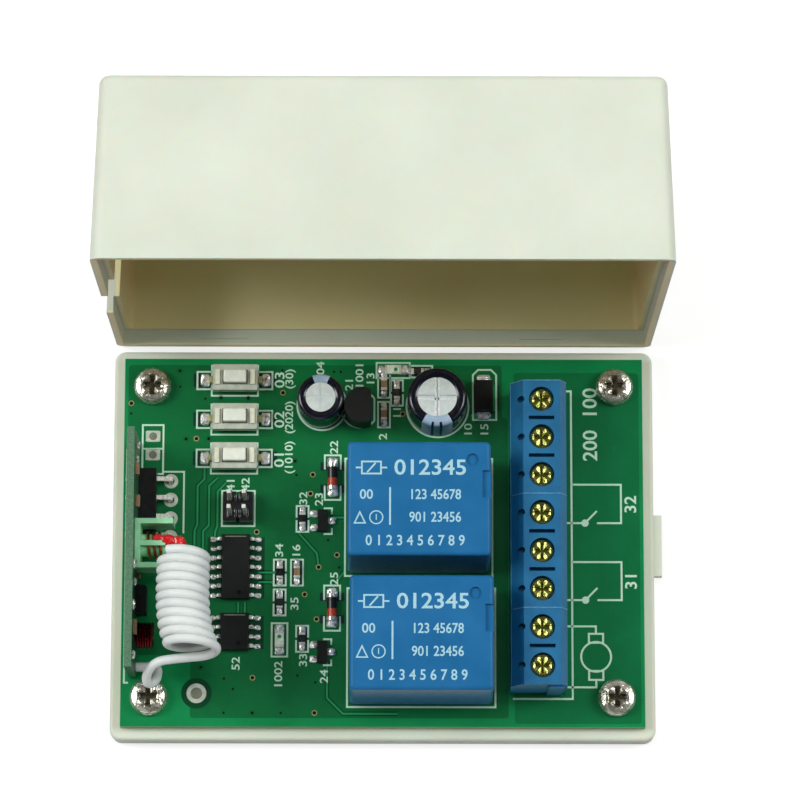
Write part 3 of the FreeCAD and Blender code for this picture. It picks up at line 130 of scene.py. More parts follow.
class Tree:
    """The shader nodes of a world or a material."""

    def __init__(self, owner):
        owner.use_nodes = True
        self.nodes = owner.node_tree.nodes
        self.links = owner.node_tree.links

    def add(self, kind, values=(), **settings):
        """A node whose inputs, in order, take numbers or other nodes' outputs."""
        node = self.nodes.new("ShaderNode" + kind)
        for word, setting in settings.items():
            setattr(node, word, setting)
        for socket, value in zip(node.inputs, values):
            if isinstance(value, bpy.types.NodeSocket):
                self.links.new(value, socket)
            elif value is not None:
                socket.default_value = value
        return node

    def calculate(self, operation, *values):
        return self.add("Math", values, operation=operation).outputs[0]

    def vector(self, operation, *values):
        return self.add("VectorMath", values, operation=operation).outputs[0]

    def stops(self, factor, *marks):
        """A colour that follows a factor: each mark is a value of it and the shade there."""
        node = self.add("ValToRGB", [factor])
        ends = node.color_ramp.elements
        for end, (position, shade) in zip(ends, (marks[0], marks[-1])):
            end.position, end.color = position, linear(shade)
        for position, shade in marks[1:-1]:
            ends.new(position).color = linear(shade)
        return node.outputs["Color"]

    def ramp(self, factor, *shades, low=0.3, high=0.7):
        """Shades spread evenly over a factor between two limits."""
        step = (high - low) / (len(shades) - 1)
        return self.stops(factor, *[(low + step * i, shade) for i, shade in enumerate(shades)])

    def mix(self, factor, a, b):
        """Colour a where the factor is 0 and colour b where it is 1."""
        other_types = [None] * 5
        return self.add("Mix", [factor, *other_types, a, b], data_type="RGBA").outputs[2]


class Finish(Tree):
    """A procedural material: one shader with colour, roughness and relief from its nodes."""

    def __init__(self, name, **sockets):
        self.name = name
        self.material = bpy.data.materials.new(name)
        super().__init__(self.material)
        self.shader = self.nodes["Principled BSDF"]
        for word, value in sockets.items():
            self.shader.inputs[word.replace("_", " ")].default_value = value

    def place(self, stretch=(1, 1, 1)):
        """Position on the object, in metres, squeezed along chosen axes."""
        mapping = self.add("Mapping", [self.add("TexCoord").outputs["Object"]])
        mapping.inputs["Scale"].default_value = stretch
        return mapping.outputs[0]

    def speckle(self, size, detail=2.0, stretch=(1, 1, 1)):
        """Noise whose spots have about a size."""
        texture = self.add("TexNoise", [self.place(stretch)])
        texture.inputs["Scale"].default_value = 1 / (size * MM)
        texture.inputs["Detail"].default_value = detail
        return texture.outputs["Fac"]

    def colour(self, output):
        self.links.new(output, self.shader.inputs["Base Color"])

    def roughness(self, factor, low, high):
        node = self.add("MapRange", [factor, *SPECKLE_RANGE, low, high])
        self.links.new(node.outputs[0], self.shader.inputs["Roughness"])

    def relief(self, factor, depth):
        """A bump of some depth over any that the finish has."""
        node = self.add("Bump")
        node.inputs["Strength"].default_value = 1.0
        node.inputs["Distance"].default_value = depth * MM
        self.links.new(factor, node.inputs["Height"])
        normal = self.shader.inputs["Normal"]
        if normal.is_linked:
            self.links.new(normal.links[0].from_socket, node.inputs["Normal"])
        self.links.new(node.outputs[0], normal)
        return self

    def surface(self, shades, cloud, polish, rough, grain, depth, **limits):
        """Speckled colour, roughness and relief; cloud and grain give a size and a detail."""
        self.colour(self.ramp(self.speckle(*cloud), *shades, **limits))
        self.roughness(self.speckle(polish), *rough)
        return self.relief(self.speckle(*grain), depth)

    def facing_up(self):
        """1 on surfaces that look up, 0 on sides and undersides."""
        normal = self.add("NewGeometry").outputs["Normal"]
        height = self.add("SeparateXYZ", [normal]).outputs["Z"]
        return self.calculate("GREATER_THAN", height, 0.5)


# Camera, light and floor

CAMERA_PLACE = Vector((1.2411, -85.5722, 537.81))
CAMERA_TURN = (0.1949, -0.0022, 0.0017)
CAMERA_LENS = 180.48
CAMERA_SENSOR = 36.0
CAMERA_NEAR = 0.01
CAMERA_FAR = 20
LAMPS = [
    ("left_panel", (-700, 120, 760), (450, 450), 6.4, True),
    ("right_panel", (700, 120, 760), (450, 450), 5.2, True),
    ("top_panel", (0, 160, 1000), (400, 300), 2.4, False),
]
WORLD_FILL = 0.15
GLOSS_MARKS = [(0.0, (235, 235, 232)), (0.35, (240, 240, 240)), (0.55, (165, 165, 165)),
               (0.72, (215, 215, 215)), (0.86, (70, 70, 70)), (1.0, (38, 40, 44))]
FLOOR_SHADE = (178, 178, 177)
FLOOR_GLOW = 0.66
FLOOR_METRES = 6
FLOOR_DROP = 0.02


def make_camera():
    data = bpy.data.cameras.new("photo_camera")
    data.lens = CAMERA_LENS
    data.sensor_width = CAMERA_SENSOR
    data.clip_start = CAMERA_NEAR
    data.clip_end = CAMERA_FAR
    camera = bpy.data.objects.new("photo_camera", data)
    camera.location = CAMERA_PLACE * MM
    camera.rotation_euler = CAMERA_TURN
    bpy.context.collection.objects.link(camera)
    bpy.context.scene.camera = camera
    bpy.context.scene.view_settings.view_transform = "Standard"


def make_lamps():
    """Soft panels that face the middle of the board; some are left out of reflections."""
    for name, place, size, power, in_gloss in LAMPS:
        data = bpy.data.lights.new(name, "AREA")
        data.shape = "RECTANGLE"
        data.size = size[0] * MM
        data.size_y = size[1] * MM
        data.energy = power
        lamp = bpy.data.objects.new(name, data)
        lamp.location = Vector(place) * MM
        lamp.rotation_euler = (-lamp.location).to_track_quat("-Z", "Y").to_euler()
        lamp.visible_glossy = in_gloss
        bpy.context.collection.objects.link(lamp)


def seen_straight(tree, path, *others):
    """One for camera rays, for rays through glass and for the other rays named."""
    last = path["Is Camera Ray"]
    for name in ("Is Transmission Ray",) + others:
        last = tree.calculate("MAXIMUM", last, path[name])
    return last


def make_world():
    """White seen straight, dark overhead and pale at the sides in gloss, else a plain fill."""
    world = bpy.data.worlds.new("studio")
    bpy.context.scene.world = world
    tree = Tree(world)
    tree.nodes.clear()
    path = tree.add("LightPath").outputs
    fill = tree.add("Background", [WHITE, WORLD_FILL]).outputs[0]
    look = tree.add("SeparateXYZ", [tree.add("TexCoord").outputs["Generated"]])
    gloss = tree.add("Background", [tree.stops(look.outputs["Z"], *GLOSS_MARKS)]).outputs[0]
    seen = tree.add("Background", [WHITE, 1.0]).outputs[0]
    by_gloss = tree.add("MixShader", [path["Is Glossy Ray"], fill, gloss]).outputs[0]
    by_camera = tree.add("MixShader", [seen_straight(tree, path), by_gloss, seen])
    tree.add("OutputWorld", [by_camera.outputs[0]])


def make_floor():
    """A pale floor that also glows, but only where it is seen straight or in gloss."""
    finish = Finish("floor_white", Base_Color=linear(FLOOR_SHADE), Roughness=0.9,
                    Specular_IOR_Level=0.0, Emission_Color=WHITE)
    path = finish.add("LightPath").outputs
    seen = seen_straight(finish, path, "Is Glossy Ray")
    finish.links.new(finish.calculate("MULTIPLY", seen, FLOOR_GLOW),
                     finish.shader.inputs["Emission Strength"])
    level = CAD_BOX[0].z - FLOOR_DROP * MM
    bpy.ops.mesh.primitive_plane_add(size=FLOOR_METRES, location=(0, 0, level))
    floor = bpy.context.object
    floor.name = "floor"
    floor.data.materials.append(finish.material)


# Finishes

BOARD_SCREW = Vector((31.2, 21.1))
BOARD_SCREW_SHIFT = 0.15
TERMINAL_AXIS = 21.0
POLE_PITCH = 5.08
COVER_SKIN = 1.2
COVER_CORNER = 2.0
COVER_MARGIN = 0.5
# Reach, inset and share of the warm painted shade on the cover's rim
RIM_SHADE_REACH = 0.3
RIM_SHADE_INSET = 0.25
RIM_SHADE_SHARE = 0.75
POUR_EDGE = [(10, 90, 50), (16, 100, 60)]
LAMINATE = [(14, 40, 38), (22, 54, 48)]


def moulded(name, shades, rough=(0.42, 0.55), grain=0.12, depth=0.003, mottle=4.0, **sockets):
    """Moulded plastic: broad soft mottling and a fine grain."""
    return Finish(name, **sockets).surface(shades, (mottle, 3.0), mottle / 5, rough,
                                           (grain, 1.0), depth)


def metal(name, shades, rough=(0.2, 0.36), metallic=0.5, grain=0.3, depth=0.006):
    """Metal, tin or solder with uneven polish; a skin that isn't all metal keeps it bright."""
    return Finish(name, Metallic=metallic).surface(shades, (grain * 3, 3.0), grain, rough,
                                                   (grain, 2.0), depth)


def crossed_metal(finish, u, v, shades, dark, reach, width, depth):
    """Plated screw heads with a painted shade in the cross recess; u and v lead from each one's
    middle along the recess.

    Across an arm the recess rises between 0.3 and 1.3 of its width, and at an arm's end between
    0.75 and 1.1 of its reach.
    """
    a, b = finish.calculate("ABSOLUTE", u), finish.calculate("ABSOLUTE", v)
    near, far = finish.calculate("MINIMUM", a, b), finish.calculate("MAXIMUM", a, b)
    flank = finish.add("MapRange", [near, 0.3 * width * MM, 1.3 * width * MM, 0, 1]).outputs[0]
    rim = finish.add("MapRange", [far, 0.75 * reach * MM, 1.1 * reach * MM, 0, 1]).outputs[0]
    height = finish.calculate("MAXIMUM", flank, rim)
    plate = finish.ramp(finish.speckle(0.8), *shades)
    # Painted shade: the cross recess takes the darker colour, and the rest of the head takes the
    # plate's
    finish.colour(finish.mix(height, linear(dark), plate))
    finish.roughness(finish.speckle(0.6), 0.16, 0.32)
    finish.relief(finish.speckle(0.9), 0.14)
    return finish.relief(height, depth)


def screw_steel():
    """The four board screws, folded on to one by the board's two middle lines."""
    finish = Finish("screw_steel", Metallic=0.8)
    x, y, _ = finish.add("SeparateXYZ", [finish.place()]).outputs
    y = finish.calculate("SUBTRACT", y, BOARD_SCREW_SHIFT * MM)
    u = finish.calculate("SUBTRACT", finish.calculate("ABSOLUTE", x), BOARD_SCREW.x * MM)
    v = finish.calculate("SUBTRACT", finish.calculate("ABSOLUTE", y), BOARD_SCREW.y * MM)
    # The third colour is the painted shade of the recess
    return crossed_metal(finish, u, v, [(150, 148, 130), (226, 224, 212)], (104, 100, 82),
                         1.4, 0.7, 0.12)


def terminal_zinc():
    """The terminal screws, folded on to one by the pitch of the row."""
    finish = Finish("terminal_zinc", Metallic=0.8)
    x, y, _ = finish.add("SeparateXYZ", [finish.place()]).outputs
    u = finish.calculate("SUBTRACT", x, TERMINAL_AXIS * MM)
    step = finish.calculate("FLOORED_MODULO", y, POLE_PITCH * MM)
    v = finish.calculate("SUBTRACT", step, POLE_PITCH / 2 * MM)
    # The third colour is the painted shade of the recess
    return crossed_metal(finish, u, v, [(122, 126, 50), (196, 196, 124)], (112, 116, 46),
                         1.2, 0.5, 0.15)


def case_plastic():
    """Off-white shell plastic, with a warm painted shade inside the deep cover and on its rim."""
    finish = Finish("case_plastic", Specular_IOR_Level=0.3, Subsurface_Weight=0.3,
                    Subsurface_Scale=2.5 * MM)
    low, high = box("cover")
    place = finish.place()
    back = finish.add("SeparateXYZ", [place]).outputs["Y"]
    gap = finish.calculate("ABSOLUTE", finish.calculate("SUBTRACT", back, low.y * MM))
    rim = finish.calculate("LESS_THAN", gap, RIM_SHADE_REACH * MM)
    in_cover = finish.calculate("GREATER_THAN", back, (low.y - COVER_MARGIN) * MM)
    # Distance from the core of a rounded box that runs on past the cover's opening
    low.y -= 2 * COVER_CORNER
    core = (high - low) / 2 - Vector((1, 1, 1)) * COVER_CORNER
    offset = finish.vector("SUBTRACT", place, (low + high) / 2 * MM)
    past = finish.vector("SUBTRACT", finish.vector("ABSOLUTE", offset), core * MM)
    past = finish.vector("MAXIMUM", past, (0, 0, 0))
    far = finish.add("VectorMath", [past], operation="LENGTH").outputs["Value"]
    inside = finish.calculate("LESS_THAN", far, (COVER_CORNER - COVER_SKIN) * MM)
    inside = finish.calculate("MULTIPLY", inside, in_cover)
    under_skin = finish.calculate("LESS_THAN", far, (COVER_CORNER - RIM_SHADE_INSET) * MM)
    rim = finish.calculate("MULTIPLY", rim, under_skin)
    # Painted shade: the inside of the cover takes the warm inner colour fully, and its rim takes it
    # in part
    painted_shade = finish.calculate("MAXIMUM", inside, finish.calculate("MULTIPLY", rim, RIM_SHADE_SHARE))
    cloud = finish.speckle(14.0, 3.0)
    outer = finish.ramp(cloud, (207, 214, 197), (215, 222, 206))
    inner = finish.ramp(cloud, (240, 226, 172), (244, 232, 182))
    finish.colour(finish.mix(painted_shade, outer, inner))
    finish.roughness(finish.speckle(2.8), 0.5, 0.62)
    finish.relief(finish.speckle(0.1, 1.0), 0.004)
    return finish.relief(finish.speckle(2.5), 0.012)


def board_green(name, face, edge, relief=0.004, upright=False):
    """Solder mask over glass weave, with shades of its own for the cut edges."""
    finish = Finish(name, Specular_IOR_Level=0.14, Coat_Weight=0.05, Coat_Roughness=0.12)
    weave = finish.calculate("MULTIPLY", finish.speckle(0.3, 1.0, (1, 0.15, 1)),
                             finish.speckle(0.3, 1.0, (0.15, 1, 1)))
    cloudy = finish.calculate("MULTIPLY_ADD", weave, 0.4, finish.speckle(9.0))
    mask = finish.ramp(cloudy, *face, low=0.4, high=0.8)
    fibre = finish.ramp(finish.speckle(0.25, 2.0, (1, 1, 4)), *edge)
    ends = (mask, fibre) if upright else (fibre, mask)
    finish.colour(finish.mix(finish.facing_up(), *ends))
    finish.roughness(finish.speckle(1.2), 0.3, 0.42)
    return finish.relief(weave, relief)


def can_aluminium():
    """Pressed aluminium with a satin, nearly white face."""
    return Finish("can_aluminium", Metallic=0.35).surface(
        [(208, 220, 218), (226, 236, 234)], (0.9, 2.0), 0.5, (0.34, 0.5), (0.35, 2.0), 0.008)


def glossy_film(name, shades, **sockets):
    """Shrunk or glazed plastic film, nearly mirror smooth."""
    return Finish(name, Coat_Weight=0.4, Coat_Roughness=0.08, **sockets).surface(
        shades, (1.4, 2.0), 0.7, (0.16, 0.26), (1.1, 1.0), 0.01)


def wire_insulation():
    finish = Finish("aerial_white", Subsurface_Weight=0.12, Subsurface_Scale=0.4 * MM,
                    Subsurface_Radius=(1.0, 0.95, 1.0), Specular_IOR_Level=0.4)
    return finish.surface([(212, 218, 216), (224, 229, 226)], (3.0, 3.0), 0.6, (0.34, 0.46),
                          (0.25, 1.0), 0.004)


def wax_red():
    finish = Finish("wax_red", Subsurface_Weight=0.25, Subsurface_Scale=0.5 * MM,
                    Subsurface_Radius=(1.0, 0.15, 0.1), Coat_Weight=0.5, Coat_Roughness=0.1)
    return finish.surface([(188, 16, 20), (222, 34, 34)], (0.8, 2.0), 0.4, (0.2, 0.36),
                          (0.5, 2.0), 0.03)


def milky_resin():
    finish = Finish("milky_resin", Subsurface_Weight=0.15, Subsurface_Scale=0.4 * MM,
                    Coat_Weight=0.4, Coat_Roughness=0.08)
    return finish.surface([(196, 214, 186), (238, 245, 232)], (0.5, 2.0), 0.3, (0.15, 0.3),
                          (0.3, 2.0), 0.01)


def print_ink(name, shades):
    """Screen-printed ink: a little worn and uneven."""
    return Finish(name, Specular_IOR_Level=0.3).surface(
        shades, (0.12, 3.0), 0.2, (0.5, 0.7), (0.08, 2.0), 0.003, low=0.28, high=0.5)


def make_finishes():
    """Every finish's material by name."""
    made = [
        case_plastic(),
        board_green("board_green", [(6, 120, 64), (12, 134, 76)],
                    [(120, 150, 92), (160, 176, 120)]),
        board_green("radio_board_green", [(30, 84, 54), (42, 102, 66)],
                    [(72, 106, 82), (96, 130, 104)], relief=0.01, upright=True),
        board_green("copper_pour", [(5, 92, 47), (9, 106, 56)], POUR_EDGE),
        board_green("power_pour", [(4, 98, 54), (7, 110, 61)], POUR_EDGE),
        board_green("copper_trace", [(24, 132, 74), (34, 146, 86)], [(30, 140, 80), (40, 150, 90)]),
        board_green("bare_laminate", LAMINATE, LAMINATE),
        board_green("trace_gap", [(4, 58, 32), (8, 70, 40)], [(6, 60, 34), (8, 70, 40)]),
        screw_steel(),
        moulded("terminal_blue", [(18, 90, 132), (28, 106, 150)], rough=(0.4, 0.5), mottle=3.0,
                Specular_IOR_Level=0.35),
        # Pale blue of the painted highlights on the terminal mouldings' edges
        moulded("highlight_blue", [(66, 126, 164), (112, 164, 192)], rough=(0.5, 0.6), mottle=0.6),
        terminal_zinc(),
        metal("clamp_nickel", [(170, 168, 158), (206, 204, 196)], (0.16, 0.34), 1.0),
        metal("tinned_brass", [(226, 226, 214), (246, 246, 238)], metallic=0.35),
        moulded("relay_blue", [(28, 97, 146), (36, 106, 157)], rough=(0.28, 0.36), mottle=5.0,
                grain=0.2, depth=0.001, Specular_IOR_Level=0.1),
        moulded("switch_plastic", [(204, 206, 180), (222, 225, 204)], mottle=0.8),
        moulded("button_plastic", [(212, 218, 202), (226, 231, 217)], rough=(0.34, 0.45),
                mottle=1.0),
        metal("switch_steel", [(176, 184, 170), (200, 207, 192)], (0.36, 0.5), 0.35),
        metal("tinned_steel", [(206, 208, 198), (240, 242, 232)], (0.1, 0.24), 0.7),
        can_aluminium(),
        glossy_film("sleeve_blue", [(10, 13, 24), (18, 22, 36)], Specular_IOR_Level=0.25),
        moulded("chip_black", [(10, 13, 12), (17, 20, 19)], rough=(0.45, 0.62), mottle=1.5,
                grain=0.08, depth=0.004, Specular_IOR_Level=0.25),
        moulded("header_black", [(14, 14, 16), (26, 26, 28)], rough=(0.3, 0.42), mottle=0.8,
                Specular_IOR_Level=0.4),
        glossy_film("resistor_black", [(26, 27, 29), (44, 44, 46)]),
        moulded("ceramic_tan", [(122, 96, 66), (156, 126, 92)], grain=0.06, mottle=0.5),
        milky_resin(),
        moulded("diode_black", [(14, 12, 12), (30, 24, 22)], rough=(0.3, 0.42), mottle=0.8),
        moulded("diode_red", [(150, 44, 22), (196, 74, 42)], rough=(0.3, 0.42), mottle=0.5),
        moulded("former_mint", [(136, 206, 156), (160, 222, 176)], mottle=1.4,
                Subsurface_Weight=0.1, Subsurface_Scale=0.5 * MM),
        wax_red(),
        metal("winding_copper", [(176, 92, 44), (222, 132, 72)], (0.16, 0.34), 1.0, grain=0.2),
        metal("winding_dark", [(70, 14, 18), (112, 28, 30)], (0.2, 0.34), 1.0, grain=0.2),
        wire_insulation(),
        print_ink("silk_white", [(164, 204, 176), (190, 224, 200)]),
        print_ink("relay_print", [(138, 184, 202), (164, 204, 214)]),
        moulded("sleeve_dash", [(16, 20, 42), (26, 32, 60)], Specular_IOR_Level=0.2),
        moulded("sleeve_mark", [(140, 164, 186), (172, 192, 208)], Specular_IOR_Level=0.2),
        metal("solder", [(104, 108, 106), (240, 242, 240), (252, 252, 250)], (0.08, 0.22), 0.6,
              grain=0.16, depth=0.06),
        metal("pad_tin", [(180, 190, 176), (216, 224, 210)], (0.3, 0.44), 0.35),
        metal("via_gold", [(134, 136, 84), (170, 168, 116)], (0.36, 0.5), 0.3),
        # White of the painted highlights on the capacitor's vent
        metal("vent_highlight_white", [(224, 230, 230), (242, 246, 246)], metallic=0.2),
        # Grey of painted shade in open holes and of painted highlights on chip edges, then
        # near-black of painted shade in holes and a dimple
        moulded("grey_shade_and_highlight", [(104, 112, 96), (124, 130, 112)], mottle=0.8, Specular_IOR_Level=0.1),
        moulded("hole_shade_dark", [(8, 10, 8), (16, 18, 16)], mottle=0.5, Specular_IOR_Level=0.1),
    ]
    return {finish.name: finish.material for finish in made}


SLOT_FINISH = {
    "indicator_clear": "milky_resin",
    "diode_glass": "diode_red",
    "core_red": "wax_red",
}


def dress_frame():
    """Each CAD node takes the finish of its slot in the record."""
    for entry in frame["record"]["subparts"]:
        slot = entry["material_slot"]
        item = frame["nodes"][entry["node"]]
        for place in item.material_slots:
            place.link = "OBJECT"
            place.material = FINISHES[SLOT_FINISH.get(slot, slot)]


# Pieces

POUR_THICKNESS = 0.006
TRACE_THICKNESS = 0.012
SILK_THICKNESS = 0.022
SILK_LINE = 0.24
SHARP_EDGE = math.radians(38)
MITRE_LIMIT = 0.4
CAPITAL_SHARE = 0.7
FIGURE_WEIGHT = 0.02
WHOLE_TURN = (0, 360)
LUMP_SEGMENTS = 16
LUMP_RINGS = 10
WOBBLE_DETAIL = 1.7
WOBBLE_STEP = 3.1
WIRE_SMOOTHNESS = 6


def add_piece(name, item, finish, body="base", smooth=True):
    """The object joins the scene in its finish and rides on a body."""
    item.name = name
    item.data.materials.clear()
    item.data.materials.append(FINISHES[finish])
    if item.type == "MESH" and smooth:
        item.data.shade_smooth()
        item.data.set_sharp_from_angle(angle=SHARP_EDGE)
    bpy.context.collection.objects.link(item)
    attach(item, body)
    return item


def mesh_piece(name, mesh, finish, **options):
    data = bpy.data.meshes.new(name)
    bmesh.ops.recalc_face_normals(mesh, faces=mesh.faces)
    mesh.to_mesh(data)
    mesh.free()
    return add_piece(name, bpy.data.objects.new(name, data), finish, **options)


def around(steps, sweep=WHOLE_TURN):
    """Unit steps outward along a sweep in degrees; a whole turn leaves out its last one."""
    count = steps if sweep == WHOLE_TURN else steps + 1
    turns = [math.radians(sweep[0] + (sweep[1] - sweep[0]) * i / steps) for i in range(count)]
    return [Vector((math.cos(turn), math.sin(turn))) for turn in turns]


def join_rings(mesh, rings, closed):
    """Faces between each row of points and the next, and from the last row to the first."""
    pairs = list(zip(rings, rings[1:]))
    if closed:
        pairs.append((rings[-1], rings[0]))
    for here, there in pairs:
        for i in range(len(here) - 1):
            mesh.faces.new([here[i], here[i + 1], there[i + 1], there[i]])


class Layer:
    """Flat work on a level face: ribbons, rings, discs, plates and figures, all one mesh."""

    def __init__(self, thickness=SILK_THICKNESS, level=BOARD_TOP):
        self.level = level
        self.thickness = thickness
        self.mesh = bmesh.new()

    def vert(self, x, y, raised):
        return self.mesh.verts.new(Vector((x, y, self.level + raised * self.thickness)) * MM)

    def band(self, one_side, other_side, closed=False):
        """A raised strip between two lines of as many points."""
        rings = [[self.vert(*a, 0), self.vert(*a, 1), self.vert(*b, 1), self.vert(*b, 0)]
                 for a, b in zip(one_side, other_side)]
        join_rings(self.mesh, rings, closed)
        if not closed:
            self.mesh.faces.new(rings[0])
            self.mesh.faces.new(rings[-1])

    def ribbon(self, points, width=SILK_LINE, closed=False):
        """A line of some width with mitred corners."""
        spots = [Vector(point) for point in points]
        ahead = spots[1:] + spots[:1] if closed else spots[1:]
        runs = [(there - here).normalized() for here, there in zip(spots, ahead)]
        arrivals = runs[-1:] + runs if closed else runs[:1] + runs
        departures = runs + runs[-1:]
        left, right = [], []
        for spot, before, after in zip(spots, arrivals, departures):
            along = (before + after).normalized()
            across = Vector((-along.y, along.x))
            reach = width / 2 / max(MITRE_LIMIT, across.dot(Vector((-before.y, before.x))))
            left.append(spot + across * reach)
            right.append(spot - across * reach)
        self.band(left, right, closed)

    def frame_round(self, low, high, x=0.0, y=0.0, width=SILK_LINE):
        """A line round a box grown by x and y."""
        self.ribbon(corners(low, high, x, y), width, closed=True)

    def ring(self, centre, radius, width=SILK_LINE, sweep=WHOLE_TURN, steps=32):
        """A round line by its middle radius, whole or part of a turn."""
        edges = [[Vector(centre) + run * edge for run in around(steps, sweep)]
                 for edge in (radius - width / 2, radius + width / 2)]
        self.band(*edges, closed=sweep == WHOLE_TURN)

    def plate(self, outline):
        """A raised flat shape within an outline."""
        low = [self.vert(x, y, 0) for x, y in outline]
        high = [self.vert(x, y, 1) for x, y in outline]
        self.mesh.faces.new(high)
        for i in range(len(outline)):
            j = (i + 1) % len(outline)
            self.mesh.faces.new([low[i], low[j], high[j], high[i]])

    def disc(self, centre, radius, steps=20):
        self.plate([Vector(centre) + run * radius for run in around(steps)])

    def figures(self, text, centre, height, turn=0.0, stretch=1.0):
        """Plain numbers centred on a point, turned by some degrees."""
        curve = bpy.data.curves.new("figures", "FONT")
        curve.body = text
        curve.size = height * MM / CAPITAL_SHARE
        curve.align_x = "CENTER"
        curve.align_y = "CENTER"
        curve.extrude = self.thickness * MM / 2
        curve.offset = FIGURE_WEIGHT * height * MM
        curve.resolution_u = 3
        item = bpy.data.objects.new("figures", curve)
        bpy.context.collection.objects.link(item)
        bpy.context.view_layer.update()
        data = bpy.data.meshes.new_from_object(item)
        place = Vector((*centre, self.level + self.thickness / 2)) * MM
        data.transform(Matrix.Translation(place) @ Matrix.Rotation(math.radians(turn), 4, "Z")
                       @ Matrix.Diagonal((stretch, 1, 1, 1)))
        self.mesh.from_mesh(data)
        bpy.data.meshes.remove(data)
        bpy.data.objects.remove(item)
        bpy.data.curves.remove(curve)

    def finish(self, name, finish):
        return mesh_piece(name, self.mesh, finish, smooth=False)


def add_lump(mesh, centre, size, square=0.6, rough=0.08):
    """A rounded lump: a sphere drawn towards a box, a little uneven."""
    made = bmesh.ops.create_uvsphere(mesh, u_segments=LUMP_SEGMENTS, v_segments=LUMP_RINGS,
                                     radius=1.0)
    for vert in made["verts"]:
        spot = vert.co.copy()
        for axis in range(3):
            spot[axis] = math.copysign(abs(spot[axis]) ** square, spot[axis])
        wobble = 1 + rough * noise.noise(spot * WOBBLE_DETAIL + Vector(centre) * WOBBLE_STEP)
        reach = Vector([spot[axis] * size[axis] / 2 for axis in range(3)])
        vert.co = (Vector(centre) + reach * wobble) * MM


def add_block(mesh, low, high, bevel):
    """A box with its edges broken."""
    made = bmesh.ops.create_cube(mesh, size=1.0)
    middle, size = (Vector(low) + Vector(high)) / 2, Vector(high) - Vector(low)
    for vert in made["verts"]:
        vert.co = (middle + Vector([vert.co[a] * size[a] for a in range(3)])) * MM
    edges = list({edge for vert in made["verts"] for edge in vert.link_edges})
    bmesh.ops.bevel(mesh, geom=edges, offset=bevel * MM, segments=2, affect="EDGES", profile=0.5)


def add_lathe(mesh, profile, centre, steps, axis="Z", sweep=WHOLE_TURN):
    """A profile of radius and height pairs turned about an axis through a point."""
    rings = []
    for run in around(steps, sweep):
        spots = [Vector((*(run * radius), height)) for radius, height in profile]
        if axis == "Y":
            spots = [spot.xzy for spot in spots]
        rings.append([mesh.verts.new((centre + spot) * MM) for spot in spots])
    join_rings(mesh, rings, sweep == WHOLE_TURN)


def wire_curve(name, points, diameter, finish):
    """A round wire along a smooth curve through its control points."""
    curve = bpy.data.curves.new(name, "CURVE")
    curve.dimensions = "3D"
    curve.bevel_depth = diameter * MM / 2
    curve.bevel_resolution = WIRE_SMOOTHNESS
    curve.resolution_u = WIRE_SMOOTHNESS
    curve.use_fill_caps = True
    spline = curve.splines.new("NURBS")
    spline.points.add(len(points) - 1)
    for place, point in zip(spline.points, points):
        place.co = (*(Vector(point) * MM), 1)
    spline.order_u = 3
    spline.use_endpoint_u = True
    return add_piece(name, bpy.data.objects.new(name, curve), finish)


# Main board

POUR_OUTLINE = [(-34.5, 24.3), (16.0, 24.3), (16.0, 17.0), (16.8, 17.0), (16.8, -23.7),
                (-25.7, -23.7), (-25.7, -15.3), (-34.5, -15.3)]
POWER_POUR_OUTLINE = [(17.6, 23.3), (34.5, 23.3), (34.5, -24.4), (17.6, -24.4)]
POUR_CORNER = 0.5
SIGNAL_TRACES = [
    [(-24.1, 10.3), (-24.1, 8.6), (-25.0, 7.7), (-25.0, 2.4), (-25.35, 1.6), (-25.35, -1.6)],
    [(-22.3, 8.8), (-23.45, 7.7), (-23.45, 2.3), (-24.2, 1.5), (-24.2, -1.6)],
    [(-21.2, 8.1), (-22.3, 6.9), (-22.3, 2.2), (-22.6, 1.4), (-22.6, 0.8)],
    [(-11.0, 2.2), (-11.4, 1.3), (-8.9, -1.5), (-8.65, -3.3)],
    [(-7.45, -16.2), (-7.45, -21.0), (-5.3, -23.1), (2.0, -23.1)],
    [(-16.7, -4.1), (-14.4, -4.1)],
    [(-16.7, -5.4), (-14.9, -5.4), (-14.2, -6.9)],
    [(-19.4, -8.1), (-19.4, -9.6)],
    [(-18.5, -8.1), (-18.5, -9.6)],
    [(-5.2, 3.4), (-7.3, 3.4)],
    [(-5.2, -3.9), (-6.4, -5.6), (-6.8, -6.6)],
]
POWER_TRACES = [[(12.0, 17.0), (14.8, 18.6), (14.8, 21.6)]]
SIGNAL_WIDTH = 0.26
SIGNAL_GAP = 0.62
POWER_WIDTH = 1.2
POWER_GAP = 1.7
BARE_VIAS = [(-27.6, 23.5), (-26.65, 14.1), (-23.6, 14.15), (-22.0, 19.75), (-18.3, 19.7),
             (-11.9, 11.1), (-17.4, -23.0), (-24.3, -16.9)]
GOLD_VIAS = [(-34.1, 19.0), (-25.25, 14.15), (-13.6, 20.5), (-9.5, 9.25), (-9.8, 6.65),
             (-17.0, 1.4), (-6.2, -1.7), (-8.65, -3.35), (-10.5, -7.05), (-8.9, -10.4),
             (-17.4, -18.3), (-9.1, -23.0), (2.6, 17.6)]
SMALL_VIAS = [(-27.5, 21.3), (-24.1, 19.65), (-34.1, 17.6), (-13.7, 23.6), (-6.7, 23.4),
              (-5.8, 23.4), (-11.7, 9.2), (-21.2, -18.4), (-20.0, -19.8), (-21.2, -23.0),
              (-13.6, -23.0), (-11.4, -18.0), (-9.0, -18.9), (-7.4, 0.3), (-5.9, -3.4)]
VIA_GAP = 0.42
VIA_RIM = 0.14
AERIAL_HOLE = (-24.85, -20.4)
AERIAL_HOLE_RADIUS = 0.78
AERIAL_GAP = 2.05
AERIAL_PAD = 0.54
SPARE_PADS = [(-31.1, 14.47), (-31.1, 11.93)]
SPARE_HALF = (0.98, 0.76)
SPARE_HOLE = 0.54
